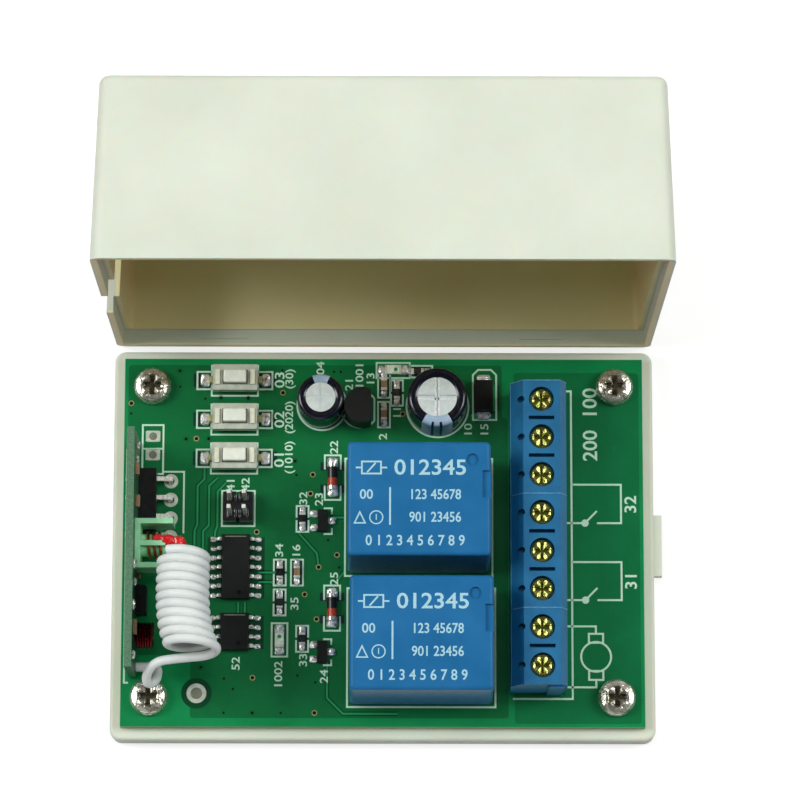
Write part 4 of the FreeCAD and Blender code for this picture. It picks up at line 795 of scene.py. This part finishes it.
# Growth of the mask opening along and across each small part
MASK_GROWTH = {"chip_resistors": (0.8, 0.3), "ceramic_capacitors": (0.8, 0.3),
               "glass_diode_caps": (0.9, 0.35), "switch_feet": (1.3, 0.45)}
# Growth of the printed box across and along each small part, and the gap in its long sides
BOX_GROWTH = {"chip_resistors": (0.4, 0.95, 0.35), "ceramic_capacitors": (0.4, 0.95, 0.0),
              "glass_diodes": (0.4, 1.75, 2.2)}
# Height and stretch of some figures, then the place of each
BOARD_FIGURES = [
    (1.05, 1.25, {
        "04": (-8.5, 23.9), "1001": (-3.2, 22.9), "21": (-4.6, 21.7), "13": (-1.7, 22.4),
        "11": (1.9, 17.8), "2": (0.0, 14.5), "10": (11.5, 15.4), "15": (13.7, 15.4),
        "22": (-6.6, 13.0), "41": (-20.5, 7.9), "42": (-18.5, 7.9), "34": (-13.9, -1.1),
        "16": (-11.6, -1.2), "35": (-11.8, -8.3), "52": (-19.6, -16.4), "1002": (-13.9, -17.9),
        "33": (-10.6, -15.9), "32": (-10.7, 6.0), "23": (-8.6, 5.9), "24": (-7.8, -18.1),
        "25": (-6.5, -4.9)}),
    (1.3, 1.25, {"03": (-14.0, 22.3), "02": (-14.0, 16.8), "01": (-14.0, 11.4)}),
    (1.05, 1.15, {"(30)": (-12.7, 22.4), "(2020)": (-12.7, 17.1), "(1010)": (-12.7, 11.6)}),
    (1.9, 1.05, {"100": (28.0, 19.1), "200": (28.0, 13.3)}),
    (1.55, 1.1, {"32": (33.35, 5.25), "31": (33.35, -5.1)}),
]


def rounded_outline(points, radius):
    """The outline with each corner drawn as a few points of a curve."""
    result = []
    count = len(points)
    for i, point in enumerate(points):
        corner = Vector(point)
        back = (Vector(points[i - 1]) - corner).normalized() * radius
        ahead = (Vector(points[(i + 1) % count]) - corner).normalized() * radius
        for step in range(5):
            part = step / 4
            result.append(corner + back * (1 - part) ** 2 + ahead * part ** 2)
    return result


def copper_layers():
    """Copper under the mask: the ground pour, its gaps, the traces in them and the vias."""
    for name, outline, finish in (("ground_pour", POUR_OUTLINE, "copper_pour"),
                                  ("power_pour", POWER_POUR_OUTLINE, "power_pour")):
        pour = Layer(POUR_THICKNESS)
        pour.plate(rounded_outline(outline, POUR_CORNER))
        pour.finish(name, finish)
    gaps = Layer(POUR_THICKNESS * 1.5)
    traces = Layer(TRACE_THICKNESS)
    for routes, gap, width in ((SIGNAL_TRACES, SIGNAL_GAP, SIGNAL_WIDTH),
                               (POWER_TRACES, POWER_GAP, POWER_WIDTH)):
        for route in routes:
            gaps.ribbon(route, gap)
            traces.ribbon(route, width)
    gaps.disc(AERIAL_HOLE, AERIAL_GAP, 32)
    chip_surrounds(gaps)
    for spot in BARE_VIAS + GOLD_VIAS:
        gaps.disc(spot, VIA_GAP)
    gaps.finish("trace_gaps", "trace_gap")
    traces.finish("traces", "copper_trace")


def chip_surrounds(layer):
    """Laminate free of copper between the leads of the chips."""
    for node in ("decoder_chip", "memory_chip"):
        layer.plate(corners(*box(node), 1.9, -0.2))


def mask_openings():
    """Dark bare laminate round the soldered ends of the small parts."""
    layer = Layer(POUR_THICKNESS * 1.8)
    for node, (along, across) in MASK_GROWTH.items():
        for low, high in solid_boxes(node):
            grow = (along, across) if lies_along_x(low, high) else (across, along)
            layer.plate(corners(low, high, *grow))
    layer.finish("mask_openings", "bare_laminate")


def via_hole_shades():
    """Rims of the vias and dark discs of painted shade in their holes; the small ones show a shaded
    hole alone.
    """
    rings, masked, holes = Layer(), Layer(), Layer()
    for spots, layer, radius, hole in ((GOLD_VIAS, rings, 0.32, 0.25),
                                       (BARE_VIAS, masked, 0.3, 0.22)):
        for spot in spots:
            layer.ring(spot, radius, VIA_RIM, steps=16)
            # Dark disc of painted shade in each hole
            holes.disc(spot, hole, 12)
    for spot in SMALL_VIAS:
        holes.disc(spot, 0.17, 10)
    rings.finish("via_rings", "via_gold")
    masked.finish("masked_via_rings", "copper_pour")
    holes.finish("via_hole_shades", "hole_shade_dark")


def plated_pads():
    """Tinned rings and squares round the open holes, with painted shade in the holes and round the
    radio pins.
    """
    pads, holes, sockets = Layer(), Layer(), Layer()
    pads.ring(AERIAL_HOLE, AERIAL_HOLE_RADIUS + AERIAL_PAD / 2, AERIAL_PAD)
    # Grey discs of painted shade where the base plastic shows through the holes
    holes.disc(AERIAL_HOLE, AERIAL_HOLE_RADIUS, 32)
    for spot in SPARE_PADS:
        square_pad(pads, spot, SPARE_HALF, SPARE_HOLE)
        holes.disc(spot, SPARE_HOLE - 0.01, 24)
    for low, high in solid_boxes("radio_pins"):
        centre = (high.x - 0.3, (low.y + high.y) / 2)
        pads.ring(centre, 0.72, 0.5)
        # Dark disc of painted shade in the hole round each pin
        sockets.disc(centre, 0.46)
    holes.finish("open_hole_shades", "grey_shade_and_highlight")
    sockets.finish("pin_socket_shades", "hole_shade_dark")
    pads.finish("plated_pads", "pad_tin")


def square_pad(layer, centre, half, hole, steps=32):
    """A rectangular pad, by its half sizes, with a round hole through it."""
    runs = around(steps)
    inner = [Vector(centre) + run * hole for run in runs]
    outer = [Vector(centre) + run / max(abs(run.x) / half[0], abs(run.y) / half[1]) for run in runs]
    layer.band(inner, outer, closed=True)


def switch_outlines(silk):
    """A printed box round each button, with an open end to its left and right."""
    for low, high in solid_boxes("switch_plates"):
        left, right, middle = low.x - 0.25, high.x, (low.y + high.y) / 2
        silk.frame_round((left, low.y - 0.35), (right, high.y + 0.3))
        for edge, end in ((left, left - 1.95), (right, right + 1.95)):
            silk.ribbon([(edge, middle - 1.2), (end, middle - 1.2), (end, middle + 1.2),
                         (edge, middle + 1.2)])


def half_frames(silk, low, high, gap):
    """A printed box, open by a gap half way along its long sides."""
    middle = (low[1] + high[1]) / 2
    for side, end in ((-1, low[1]), (1, high[1])):
        inner = middle + side * gap / 2
        silk.ribbon([(low[0], inner), (low[0], end), (high[0], end), (high[0], inner)])


def small_outlines(silk):
    """A printed box round each small part, and a hook at two corners of each driver."""
    silk.frame_round(*box("jumper_block"), 0.2, 0.4)
    for node, (across, along, gap) in BOX_GROWTH.items():
        for low, high in solid_boxes(node):
            if lies_along_x(low, high):
                silk.frame_round((low.x - 0.15, low.y - across), (high.x + 1.2, high.y + across))
            else:
                outline = corners(low, high, across, along)
                half_frames(silk, outline[0], outline[2], gap)
    for low, high in solid_boxes("indicators"):
        grow = (1.15, 0.45) if lies_along_x(low, high) else (0.45, 1.15)
        silk.frame_round(low, high, *grow)
    for low, high in solid_boxes("driver_transistors"):
        right = high.x + 0.55
        for y, turn in ((low.y - 0.3, 1), (high.y + 0.3, -1)):
            silk.ribbon([(right - 1.1, y), (right, y), (right, y + 0.8 * turn)])


def round_outlines(silk):
    """A ring round each capacitor and a ring with a flat round the transistor."""
    for low, high in solid_boxes("capacitor_sleeves"):
        middle = (low + high) / 2
        silk.ring((middle.x + 0.1, middle.y), (high.x - low.x) / 2 + 0.2, steps=64)
    low, high = box("transistor_body")
    centre = Vector(((low.x + high.x) / 2 + 0.25, (low.y + high.y) / 2 + 0.45))
    radius, cut = 2.5, 38
    silk.ring(centre, radius, sweep=(cut, 360 - cut), steps=40)
    flat = centre.x + radius * math.cos(math.radians(cut))
    reach = radius * math.sin(math.radians(cut))
    silk.ribbon([(flat, centre.y - reach), (flat, centre.y + reach)])


def large_outlines(silk):
    """The power diode, both relays, the radio board and the spare pads."""
    low, high = box("power_diode")
    cut = 0.7
    left, right, front, rear = low.x - 0.15, high.x + 0.4, low.y - 0.95, high.y + 1.65
    silk.ribbon([(left, front), (right, front), (right, rear - cut), (right - cut, rear),
                 (left + cut, rear), (left, rear - cut)], closed=True)
    for node in ("relay_case_1", "relay_case_2"):
        low, high = box(node)
        silk.frame_round((low.x - 0.35, low.y - 0.35), (high.x + 0.45, high.y + 0.35), width=0.25)
    low, high = box("radio_board")
    silk.ribbon([(low.x - 0.2, low.y - 0.6), (low.x - 0.75, low.y - 0.6),
                 (low.x - 0.75, high.y - 0.8)])
    silk.frame_round((-32.5, 9.3), (-29.7, 16.0))
    silk.ribbon([(-32.4, 12.75), (-29.8, 12.75)])
    silk.ribbon([(-29.6, 9.6), (-26.85, 9.6), (-26.85, 1.2)])


def terminal_diagram(silk, marks):
    """What each terminal pair is for: supply rail, two switched contacts and a motor."""
    row_low = box("terminal_housing_3")[0]
    row_high = box("terminal_housing_1")[1]
    rail = row_high.x + 1.0
    line = 0.26
    silk.ribbon([(row_high.x - 0.4, row_high.y + 0.45), (rail, row_high.y + 0.45),
                 (rail, row_low.y - 0.45), (row_low.x + 0.4, row_low.y - 0.45)], line)
    right, knob, gap = 32.0, 27.15, 28.75
    for top, bottom in ((7.95, 2.7), (-2.6, -7.75)):
        silk.ribbon([(rail, top), (right, top), (right, bottom), (gap, bottom)], line)
        silk.ribbon([(rail - 0.9, bottom), (knob, bottom)], line)
        marks.disc((knob, bottom), 0.5)
        silk.ribbon([(knob, bottom), (gap, bottom + 1.65)], line)
    x, y, radius = 28.5, -15.4, 2.0
    marks.ring((x, y), radius, line, steps=48)
    for side, edge in ((1, -11.3), (-1, -19.5)):
        near = y + side * (radius - 0.1)
        far = near + side * 1.2
        silk.frame_round((x, min(near, far)), (x, max(near, far)), 0.95, width=line)
        silk.ribbon([(x, far + side * 0.12), (x, edge), (rail - 0.8, edge)], line)


def board_print():
    """Outlines, the terminals' diagram and plain numbers beside the parts."""
    silk = Layer()
    switch_outlines(silk)
    small_outlines(silk)
    round_outlines(silk)
    large_outlines(silk)
    marks = Layer(SILK_THICKNESS * 1.5)
    terminal_diagram(silk, marks)
    marks.finish("diagram_marks", "silk_white")
    for height, stretch, places in BOARD_FIGURES:
        for figure, spot in places.items():
            silk.figures(figure, spot, height, 90, stretch)
    silk.finish("board_print", "silk_white")


# Solder and tinned ends

CHIP_CAPS = {"chip_resistors": 0.3, "ceramic_capacitors": 0.32, "indicators": 0.3}
CAP_SKIN = 0.015
END_REACH = 1.15
END_OVERHANG = 0.35
END_TALLEST = 0.9
END_RISE = 1.5
END_SPREAD = 1.12


def end_solder(mesh, low, high, along):
    """A lump of solder at each end of a part, lapping up its end faces."""
    size = high - low
    spread = Vector((size.x, size.y, min(size.z, END_TALLEST) * END_RISE))
    spread[along] = END_REACH
    spread[1 - along] *= END_SPREAD
    for side in (-1, 1):
        centre = (low + high) / 2
        centre[along] += side * (size[along] / 2 + END_REACH * END_OVERHANG)
        centre.z = BOARD_TOP
        add_lump(mesh, centre, spread, 0.55, 0.14)


def tinned_ends(mesh, low, high, cap, along):
    """Bright caps over both ends of a chip part."""
    skin = Vector((CAP_SKIN, CAP_SKIN, 0))
    near_end, far_start = high.copy(), low.copy()
    near_end[along] = low[along] + cap
    far_start[along] = high[along] - cap
    for a, b in ((low, near_end), (far_start, high)):
        add_block(mesh, a - skin, b + skin + Vector((0, 0, CAP_SKIN)), 0.04)


def outward(value, middle):
    """Which way along its axis a place lies from a middle."""
    return 1 if value > middle else -1


def lead_solder(solder):
    """Solder at the glass diodes' caps, the chips' leads and the feet of the other parts."""
    for low, high in solid_boxes("glass_diode_caps"):
        x, y, _ = (low + high) / 2
        out = outward(y, nearest_diode(y))
        end = high.y if out > 0 else low.y
        add_lump(solder, (x, end + out * 0.3, BOARD_TOP), (1.5, 1.3, 1.6), 0.5, 0.12)
    for low, high in solid_boxes("chip_leads"):
        out = outward(low.x, chip_middle(low))
        x, y = (low.x if out < 0 else high.x) + out * 0.02, (low.y + high.y) / 2
        add_lump(solder, (x, y, BOARD_TOP), (0.95, 0.72, 0.7), 0.7, 0.12)
        add_lump(solder, (x - out * 0.85, y, high.z - 0.08), (0.72, 0.56, 0.34), 0.7, 0.1)
    drivers, button = box("driver_transistors")[0].x, box("button_1")[0].x
    # Feet, a middle they point away from, how far, and each lump's size, squareness and unevenness
    for feet, middle, shift, size, square, rough in (
            (driver_feet(), drivers, 0.25, (1.25, 1.05, 1.2), 0.65, 0.16),
            (solid_boxes("power_diode_tabs"), 0.0, 0.0, (2.0, 1.3, 1.0), 0.55, 0.16),
            (solid_boxes("switch_feet"), button, 0.4, (1.3, 1.75, 1.1), 0.45, 0.18)):
        for low, high in feet:
            x, y, _ = (low + high) / 2
            add_lump(solder, (x + outward(x, middle) * shift, y, BOARD_TOP), size, square, rough)


def solder_work():
    solder, caps = bmesh.new(), bmesh.new()
    for node, cap in CHIP_CAPS.items():
        for low, high in solid_boxes(node):
            along = 0 if lies_along_x(low, high) else 1
            tinned_ends(caps, low, high, cap, along)
            end_solder(solder, low, high, along)
    lead_solder(solder)
    mesh_piece("solder_lumps", solder, "solder")
    mesh_piece("tinned_caps", caps, "pad_tin")


def switch_terminals():
    """The yellow metal where each foot enters its switch."""
    brass = bmesh.new()
    button = box("button_1")[0].x
    for low, high in solid_boxes("switch_feet"):
        out = outward((low.x + high.x) / 2, button)
        near = low.x if out > 0 else high.x
        far = near + out * 0.55
        add_block(brass, (min(near, far), low.y + 0.05, BOARD_TOP + 0.2),
                  (max(near, far), high.y - 0.05, BOARD_TOP + 0.85), 0.06)
    mesh_piece("switch_terminals", brass, "via_gold")


def driver_feet():
    """Boxes of each driver transistor's three leads: two on its left, one on its right."""
    feet = []
    for low, high in solid_boxes("driver_transistors"):
        middle = (low.y + high.y) / 2
        for x, step in ((low.x - 0.55, 0.95), (low.x - 0.55, -0.95), (high.x, 0.0)):
            feet.append((Vector((x, middle + step - 0.2, low.z)),
                         Vector((x + 0.55, middle + step + 0.2, low.z + 0.35))))
    return feet


def driver_leads():
    leads = bmesh.new()
    for low, high in driver_feet():
        add_block(leads, low, high, 0.05)
    piece = mesh_piece("driver_lead_feet", leads, "tinned_steel")
    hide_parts("driver_leads")


def nearest_diode(y):
    """The middle, along Y, of the glass diode nearest to a place."""
    middles = [(low.y + high.y) / 2 for low, high in solid_boxes("glass_diodes")]
    return min(middles, key=lambda middle: abs(middle - y))


def chip_middle(lead):
    """The middle, along X, of the chip that a lead belongs to."""
    low, high = box("decoder_chip" if lead.y > box("memory_chip")[1].y else "memory_chip")
    return (low.x + high.x) / 2


# Parts with a finer form

# Width of the folded rim, sweep of the stripe, sweeps of the dashes in it
CAPACITORS = [(1.35, (239, 301), ((258, 263), (275, 280))), (1.15, (66, 112), ())]
DIODE_WAIST = -0.2
RIB_OFFSETS = (-1.2834, -0.2914, 0.2914, 1.2834)


def diode_bodies():
    """Glass diodes: a dark half and an orange-red half between their caps."""
    dark, red = bmesh.new(), bmesh.new()
    for low, high in solid_boxes("glass_diodes"):
        middle, radius, half = (low + high) / 2, (high.x - low.x) / 2, (high.y - low.y) / 2
        add_lathe(red, [(0.01, -half), (radius, -half), (radius * 0.97, 0), (radius, DIODE_WAIST),
                        (0.01, DIODE_WAIST)], middle, 32, "Y")
        add_lathe(dark, [(0.01, DIODE_WAIST), (radius * 1.02, DIODE_WAIST),
                         (radius * 1.04, half * 0.6), (radius, half), (0.01, half)],
                  middle, 32, "Y")
    piece = mesh_piece("diode_red_halves", red, "diode_red")
    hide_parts("glass_diodes")
    mesh_piece("diode_dark_halves", dark, "diode_black")


def sleeve_profile(radius, tall, rim):
    """Outside of a shrunk sleeve: wall, rounded shoulder and the rim that folds on to the can."""
    bend = rim * 0.5
    points = [(radius, 0.0), (radius, tall - bend)]
    for step in range(1, 9):
        angle = math.radians(90 * step / 8)
        points.append((radius - bend + bend * math.cos(angle),
                       tall - bend + bend * math.sin(angle)))
    return points + [(radius - rim * 0.85, tall - 0.06), (radius - rim, tall - 0.16),
                     (radius - rim - 0.02, tall - 0.24)]


def capacitor_sleeves():
    sleeves, marks, dashes = bmesh.new(), bmesh.new(), bmesh.new()
    order = sorted(solid_boxes("capacitor_sleeves"), key=lambda pair: -pair[0].x)
    for (low, high), (rim, sweep, bars) in zip(order, CAPACITORS):
        middle = Vector(((low.x + high.x) / 2, (low.y + high.y) / 2, low.z))
        profile = sleeve_profile((high.x - low.x) / 2, high.z - low.z, rim)
        add_lathe(sleeves, profile, middle, 72)
        lifted = [(r + 0.012, z + 0.008) for r, z in profile]
        add_lathe(marks, lifted, middle, 16, sweep=sweep)
        for bar in bars:
            raised = [(r + 0.024, z + 0.016) for r, z in profile[:9]]
            add_lathe(dashes, raised, middle, 3, sweep=bar)
    piece = mesh_piece("capacitor_film", sleeves, "sleeve_blue")
    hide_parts("capacitor_sleeves")
    mesh_piece("capacitor_stripes", marks, "sleeve_mark")
    mesh_piece("capacitor_dashes", dashes, "sleeve_dash")


def vent_score_highlights():
    """Painted highlights on the crumpled lips of the cross scored in the large capacitor's top, and
    a painted shade along one score.
    """
    low, high = max(solid_boxes("capacitor_cans"), key=lambda pair: pair[1].x - pair[0].x)
    x, y, _ = (low + high) / 2
    reach = (high.x - low.x) / 2 - 1.3
    steps = [reach * (i / 6 - 1) for i in range(13)]
    # Painted highlights along the lips of the scores
    bright = Layer(0.012, high.z)
    for side in (-0.2, 0.2):
        bright.ribbon([(x + side + 0.07 * math.sin(5 * step), y + step) for step in steps], 0.2)
    bright.ribbon([(x + step, y - 0.29) for step in steps], 0.3)
    bright.finish("vent_score_highlights", "vent_highlight_white")
    # Painted shade along one score, in the colour of the sleeve's stripe
    shaded = Layer(0.01, high.z)
    shaded.ribbon([(x - reach, y + 0.22), (x + reach, y + 0.22)], 0.14)
    shaded.finish("vent_shade", "sleeve_mark")


def chip_dimples():
    """A dark dot of painted shade in the moulded dimple near the lower end of each chip, and a
    painted highlight along its upper edge.
    """
    for node in ("decoder_chip", "memory_chip"):
        low, high = box(node)
        shade_dots, edge = Layer(0.02, high.z - 0.01), Layer(0.02, high.z - 0.01)
        shade_dots.disc((low.x + 0.63 * (high.x - low.x), low.y + 0.8), 0.3, 24)
        shade_dots.finish(node + "_shade_dot", "hole_shade_dark")
        # Painted highlight: a pale line along the chip's upper edge
        edge.plate([(low.x + 0.5, high.y - 0.36), (high.x - 0.5, high.y - 0.36),
                    (high.x - 0.6, high.y - 0.24), (low.x + 0.6, high.y - 0.24)])
        edge.finish(node + "_edge", "grey_shade_and_highlight")


def jumper_ribs():
    """Glossy ribs that stand beside each pin of the jumper block."""
    low, high = box("jumper_block")
    x, y, _ = (low + high) / 2
    ribs = bmesh.new()
    for offset in RIB_OFFSETS:
        add_lump(ribs, (x + offset, y - 0.95, high.z), (0.5, 1.7, 0.5), 0.7, 0.1)
        add_lump(ribs, (x + offset, y + 1.15, high.z), (0.42, 1.2, 0.36), 0.7, 0.1)
    mesh_piece("jumper_ribs", ribs, "resistor_black")


def edge_highlights():
    """Pale painted highlights along the edges of the terminal mouldings."""
    for index in (1, 2, 3):
        low, high = box(f"terminal_housing_{index}")
        rear = high.y - 0.02
        points = []
        for along, above in ((0.0, 7.4), (1.6, 10.0), (6.55, 10.0), (7.4, 8.0)):
            points += [(low.x + along, rear, BOARD_TOP + above)] * 2
        wire_curve(f"highlit_rear_edge_{index}", points, 0.13, "highlight_blue")
        side = [(low.x + 0.02, y, BOARD_TOP + 7.4) for y in (low.y, (low.y + rear) / 2, rear)]
        wire_curve(f"highlit_side_edge_{index}", side, 0.09, "highlight_blue")


def indicator_marks():
    """The die and its green mark under the resin of each indicator."""
    marks = bmesh.new()
    for low, high in solid_boxes("indicators"):
        x, y, _ = (low + high) / 2
        spot = (x + 0.35, y, high.z) if lies_along_x(low, high) else (x, y + 0.35, high.z)
        add_lump(marks, spot, (0.5, 0.5, 0.12), 0.8, 0.1)
    mesh_piece("indicator_marks", marks, "copper_trace")


def relay_print():
    """Generic pale print on each relay: a coil sign, a bar and rows of plain numbers."""
    for index in (1, 2):
        low, high = box(f"relay_case_{index}")
        ink = Layer(0.012, high.z)
        left, top = low.x + 1.6, high.y - 3.6
        upper, lower, line = top - 3.6, top - 6.6, 0.22
        ink.frame_round((left + 0.4, top - 0.8), (left + 2.9, top + 0.8), width=line)
        ink.ribbon([(left + 1.1, top - 0.62), (left + 2.2, top + 0.62)], line)
        ink.ribbon([(left - 0.4, top), (left + 0.28, top)], line)
        ink.ribbon([(left + 3.02, top), (left + 3.7, top)], line)
        ink.figures("012345", (left + 9.4, top - 0.05), 2.0, stretch=1.12)
        ink.ribbon([(left + 4.1, upper + 1.0), (left + 4.1, lower - 1.0)])
        ink.ring((left + 2.3, lower), 0.85, 0.16)
        ink.figures("1", (left + 2.3, lower), 0.75)
        ink.ribbon([(left - 0.55, lower - 0.75), (left + 0.85, lower - 0.75),
                    (left + 0.15, lower + 0.7)], 0.18, closed=True)
        ink.figures("00", (left + 1.0, upper), 1.25)
        ink.figures("123 45678", (left + 10.0, upper), 1.3, stretch=0.86)
        ink.figures("901 23456", (left + 10.0, lower), 1.3, stretch=0.86)
        ink.figures("0 1 2 3 4 5 6 7 8 9", (left + 7.4, lower - 3.1), 1.35, stretch=0.9)
        ink.finish(f"relay_print_{index}", "relay_print")


# Radio board

# Place along Y, height and width of each lump, then of each small part
INNER_SOLDER = [(12.3, 10.5, 1.2), (9.9, 13.0, 1.0), (-4.4, 15.2, 1.6), (-6.6, 13.5, 1.2),
                (-9.9, 15.6, 1.5), (-12.0, 9.0, 1.0), (-16.4, 14.6, 1.3)]
OUTER_SOLDER = [(-10.1, 9.0, 1.3), (-13.6, 9.5, 1.5), (-16.8, 10.5, 1.2), (0.6, 12.0, 1.0)]
RADIO_CHIPS = [(8.4, 14.5, 1.6), (4.4, 12.4, 1.6), (-4.6, 8.2, 1.6), (-12.8, 15.0, 2.0)]
# Place of each drop of wax from the former's upper right edge, then its size
WAX_DROPS = [((0.7, 0.1, -1.0), (2.2, 1.9, 2.2)), ((-0.7, 0.4, -0.5), (2.2, 1.5, 1.3)),
             ((-2.0, 0.7, -0.2), (1.4, 1.0, 0.8))]


def radio_solder():
    """Solder on both faces of the upright board and round its pins."""
    low, high = box("radio_board")
    solder = bmesh.new()
    level = box("radio_pin_block")[0].z + 1.27
    for a, b in solid_boxes("radio_pins"):
        y = (a.y + b.y) / 2
        add_lump(solder, (low.x, y, level), (0.7, 1.3, 1.3), 0.9, 0.1)
        add_lump(solder, (low.x - 0.1, y, level), (0.9, 0.66, 0.66), 0.5, 0.1)
        add_lump(solder, (b.x - 0.45, y, BOARD_TOP), (0.9, 0.9, 0.8), 0.9, 0.12)
    for x, proud, lumps in ((high.x, 0.7, INNER_SOLDER), (low.x, 0.8, OUTER_SOLDER)):
        for y, z, spread in lumps:
            add_lump(solder, (x, y, z), (proud, spread, spread), 0.8, 0.2)
    mesh_piece("radio_solder", solder, "solder")


def radio_chips():
    """Small parts on the upright board's inner face."""
    face = box("radio_board")[1].x
    chips = bmesh.new()
    for y, z, long in RADIO_CHIPS:
        add_block(chips, (face - 0.02, y - long / 2, z - 0.4), (face + 0.5, y + long / 2, z + 0.4),
                  0.06)
    mesh_piece("radio_chips", chips, "ceramic_tan")


def seal_wax():
    """The drop of red wax that locks the tuning core."""
    low, high = box("coil_former")
    edge = Vector((high.x, (low.y + high.y) / 2, high.z))
    wax = bmesh.new()
    for offset, size in WAX_DROPS:
        add_lump(wax, edge + Vector(offset), size, 0.9, 0.25)
    mesh_piece("seal_wax", wax, "wax_red")


def coil_points(start, length, radius, turns, steps, begin=0.0):
    """Points of a winding along X whose axis starts at a point."""
    points = []
    for i in range(turns * steps + 1):
        angle = begin + 2 * math.pi * i / steps
        points.append(start + Vector((length * i / (turns * steps), radius * math.cos(angle),
                                      radius * math.sin(angle))))
    return points


def former_winding():
    low, high = box("former_winding")
    wire, cad_wire = 0.42, 0.35
    start = Vector((low.x + wire / 2, (low.y + high.y) / 2, (low.z + high.z) / 2))
    radius = (high.z - low.z - cad_wire) / 2
    points = coil_points(start, high.x - low.x - wire, radius, 3, 16, -math.pi / 2)
    piece = wire_curve("former_coil", points, wire, "winding_copper")
    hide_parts("former_winding")


def choke_winding():
    """Dark enamelled wire round the choke on the upright board."""
    start = Vector((box("radio_board")[1].x + 0.25, -13.4, BOARD_TOP + 5.4))
    wire_curve("choke_coil", coil_points(start, 2.1, 1.62, 6, 14), 0.34, "winding_dark")


# Aerial

AERIAL_WIRE = 1.24
AERIAL_START = Vector((-26.1, -3.65, BOARD_TOP + 12.3))
AERIAL_TILT = math.radians(9.0)
AERIAL_SWING = math.radians(-1.2)
AERIAL_BEGIN = math.radians(132.0)
AERIAL_RADIUS = 2.98
AERIAL_FLARE = 0.2
AERIAL_BOW = 1.8
AERIAL_PITCH = 1.22
AERIAL_TURNS = 10.62
AERIAL_STEPS = 16
AERIAL_FIRST_RUN = 2.8
# The wire's way from the coil's last turn to the upright board, above the main board
AERIAL_ROUTE = [(-29.7, -17.5, 10.4), (-31.0, -18.8, 9.0), (-31.05, -20.2, 7.2),
                (-29.9, -19.5, 5.6), (-29.75, -17.6, 3.4), (-30.6, -17.2, 2.4)]


def aerial_point(turn):
    """A point of the coil some turns along: it widens and bows to the right towards its end."""
    along = Vector((math.sin(AERIAL_SWING) * math.cos(AERIAL_TILT),
                    -math.cos(AERIAL_SWING) * math.cos(AERIAL_TILT), math.sin(AERIAL_TILT)))
    side = Vector((math.cos(AERIAL_SWING), math.sin(AERIAL_SWING), 0))
    up = along.cross(side)
    late = (turn / AERIAL_TURNS) ** 4
    angle = AERIAL_BEGIN - 2 * math.pi * turn
    reach = AERIAL_RADIUS + AERIAL_FLARE * late
    return (AERIAL_START + along * (AERIAL_PITCH * turn)
            + side * (AERIAL_BOW * late + reach * math.cos(angle)) + up * (reach * math.sin(angle)))


def aerial():
    """The insulated wire at its full thickness, its turns lying against each other."""
    count = round(AERIAL_TURNS * AERIAL_STEPS)
    points = [aerial_point(AERIAL_TURNS * i / count) for i in range(count + 1)]
    run = (points[-1] - points[-2]).normalized()
    points.append(points[-1] + run * AERIAL_FIRST_RUN)
    points += [Vector((x, y, BOARD_TOP + above)) for x, y, above in AERIAL_ROUTE]
    last = points[-1]
    points.append(Vector((box("radio_board")[1].x, last.y, last.z)))
    piece = wire_curve("aerial_wire", points, AERIAL_WIRE, "aerial_white")
    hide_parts("aerial")


make_camera()
FINISHES = make_finishes()
aerial()
make_world()
make_lamps()
make_floor()
dress_frame()
copper_layers()
mask_openings()
via_hole_shades()
plated_pads()
board_print()
solder_work()
switch_terminals()
diode_bodies()
capacitor_sleeves()
indicator_marks()
driver_leads()
vent_score_highlights()
chip_dimples()
jumper_ribs()
edge_highlights()
relay_print()
radio_solder()
radio_chips()
seal_wax()
former_winding()
choke_winding()
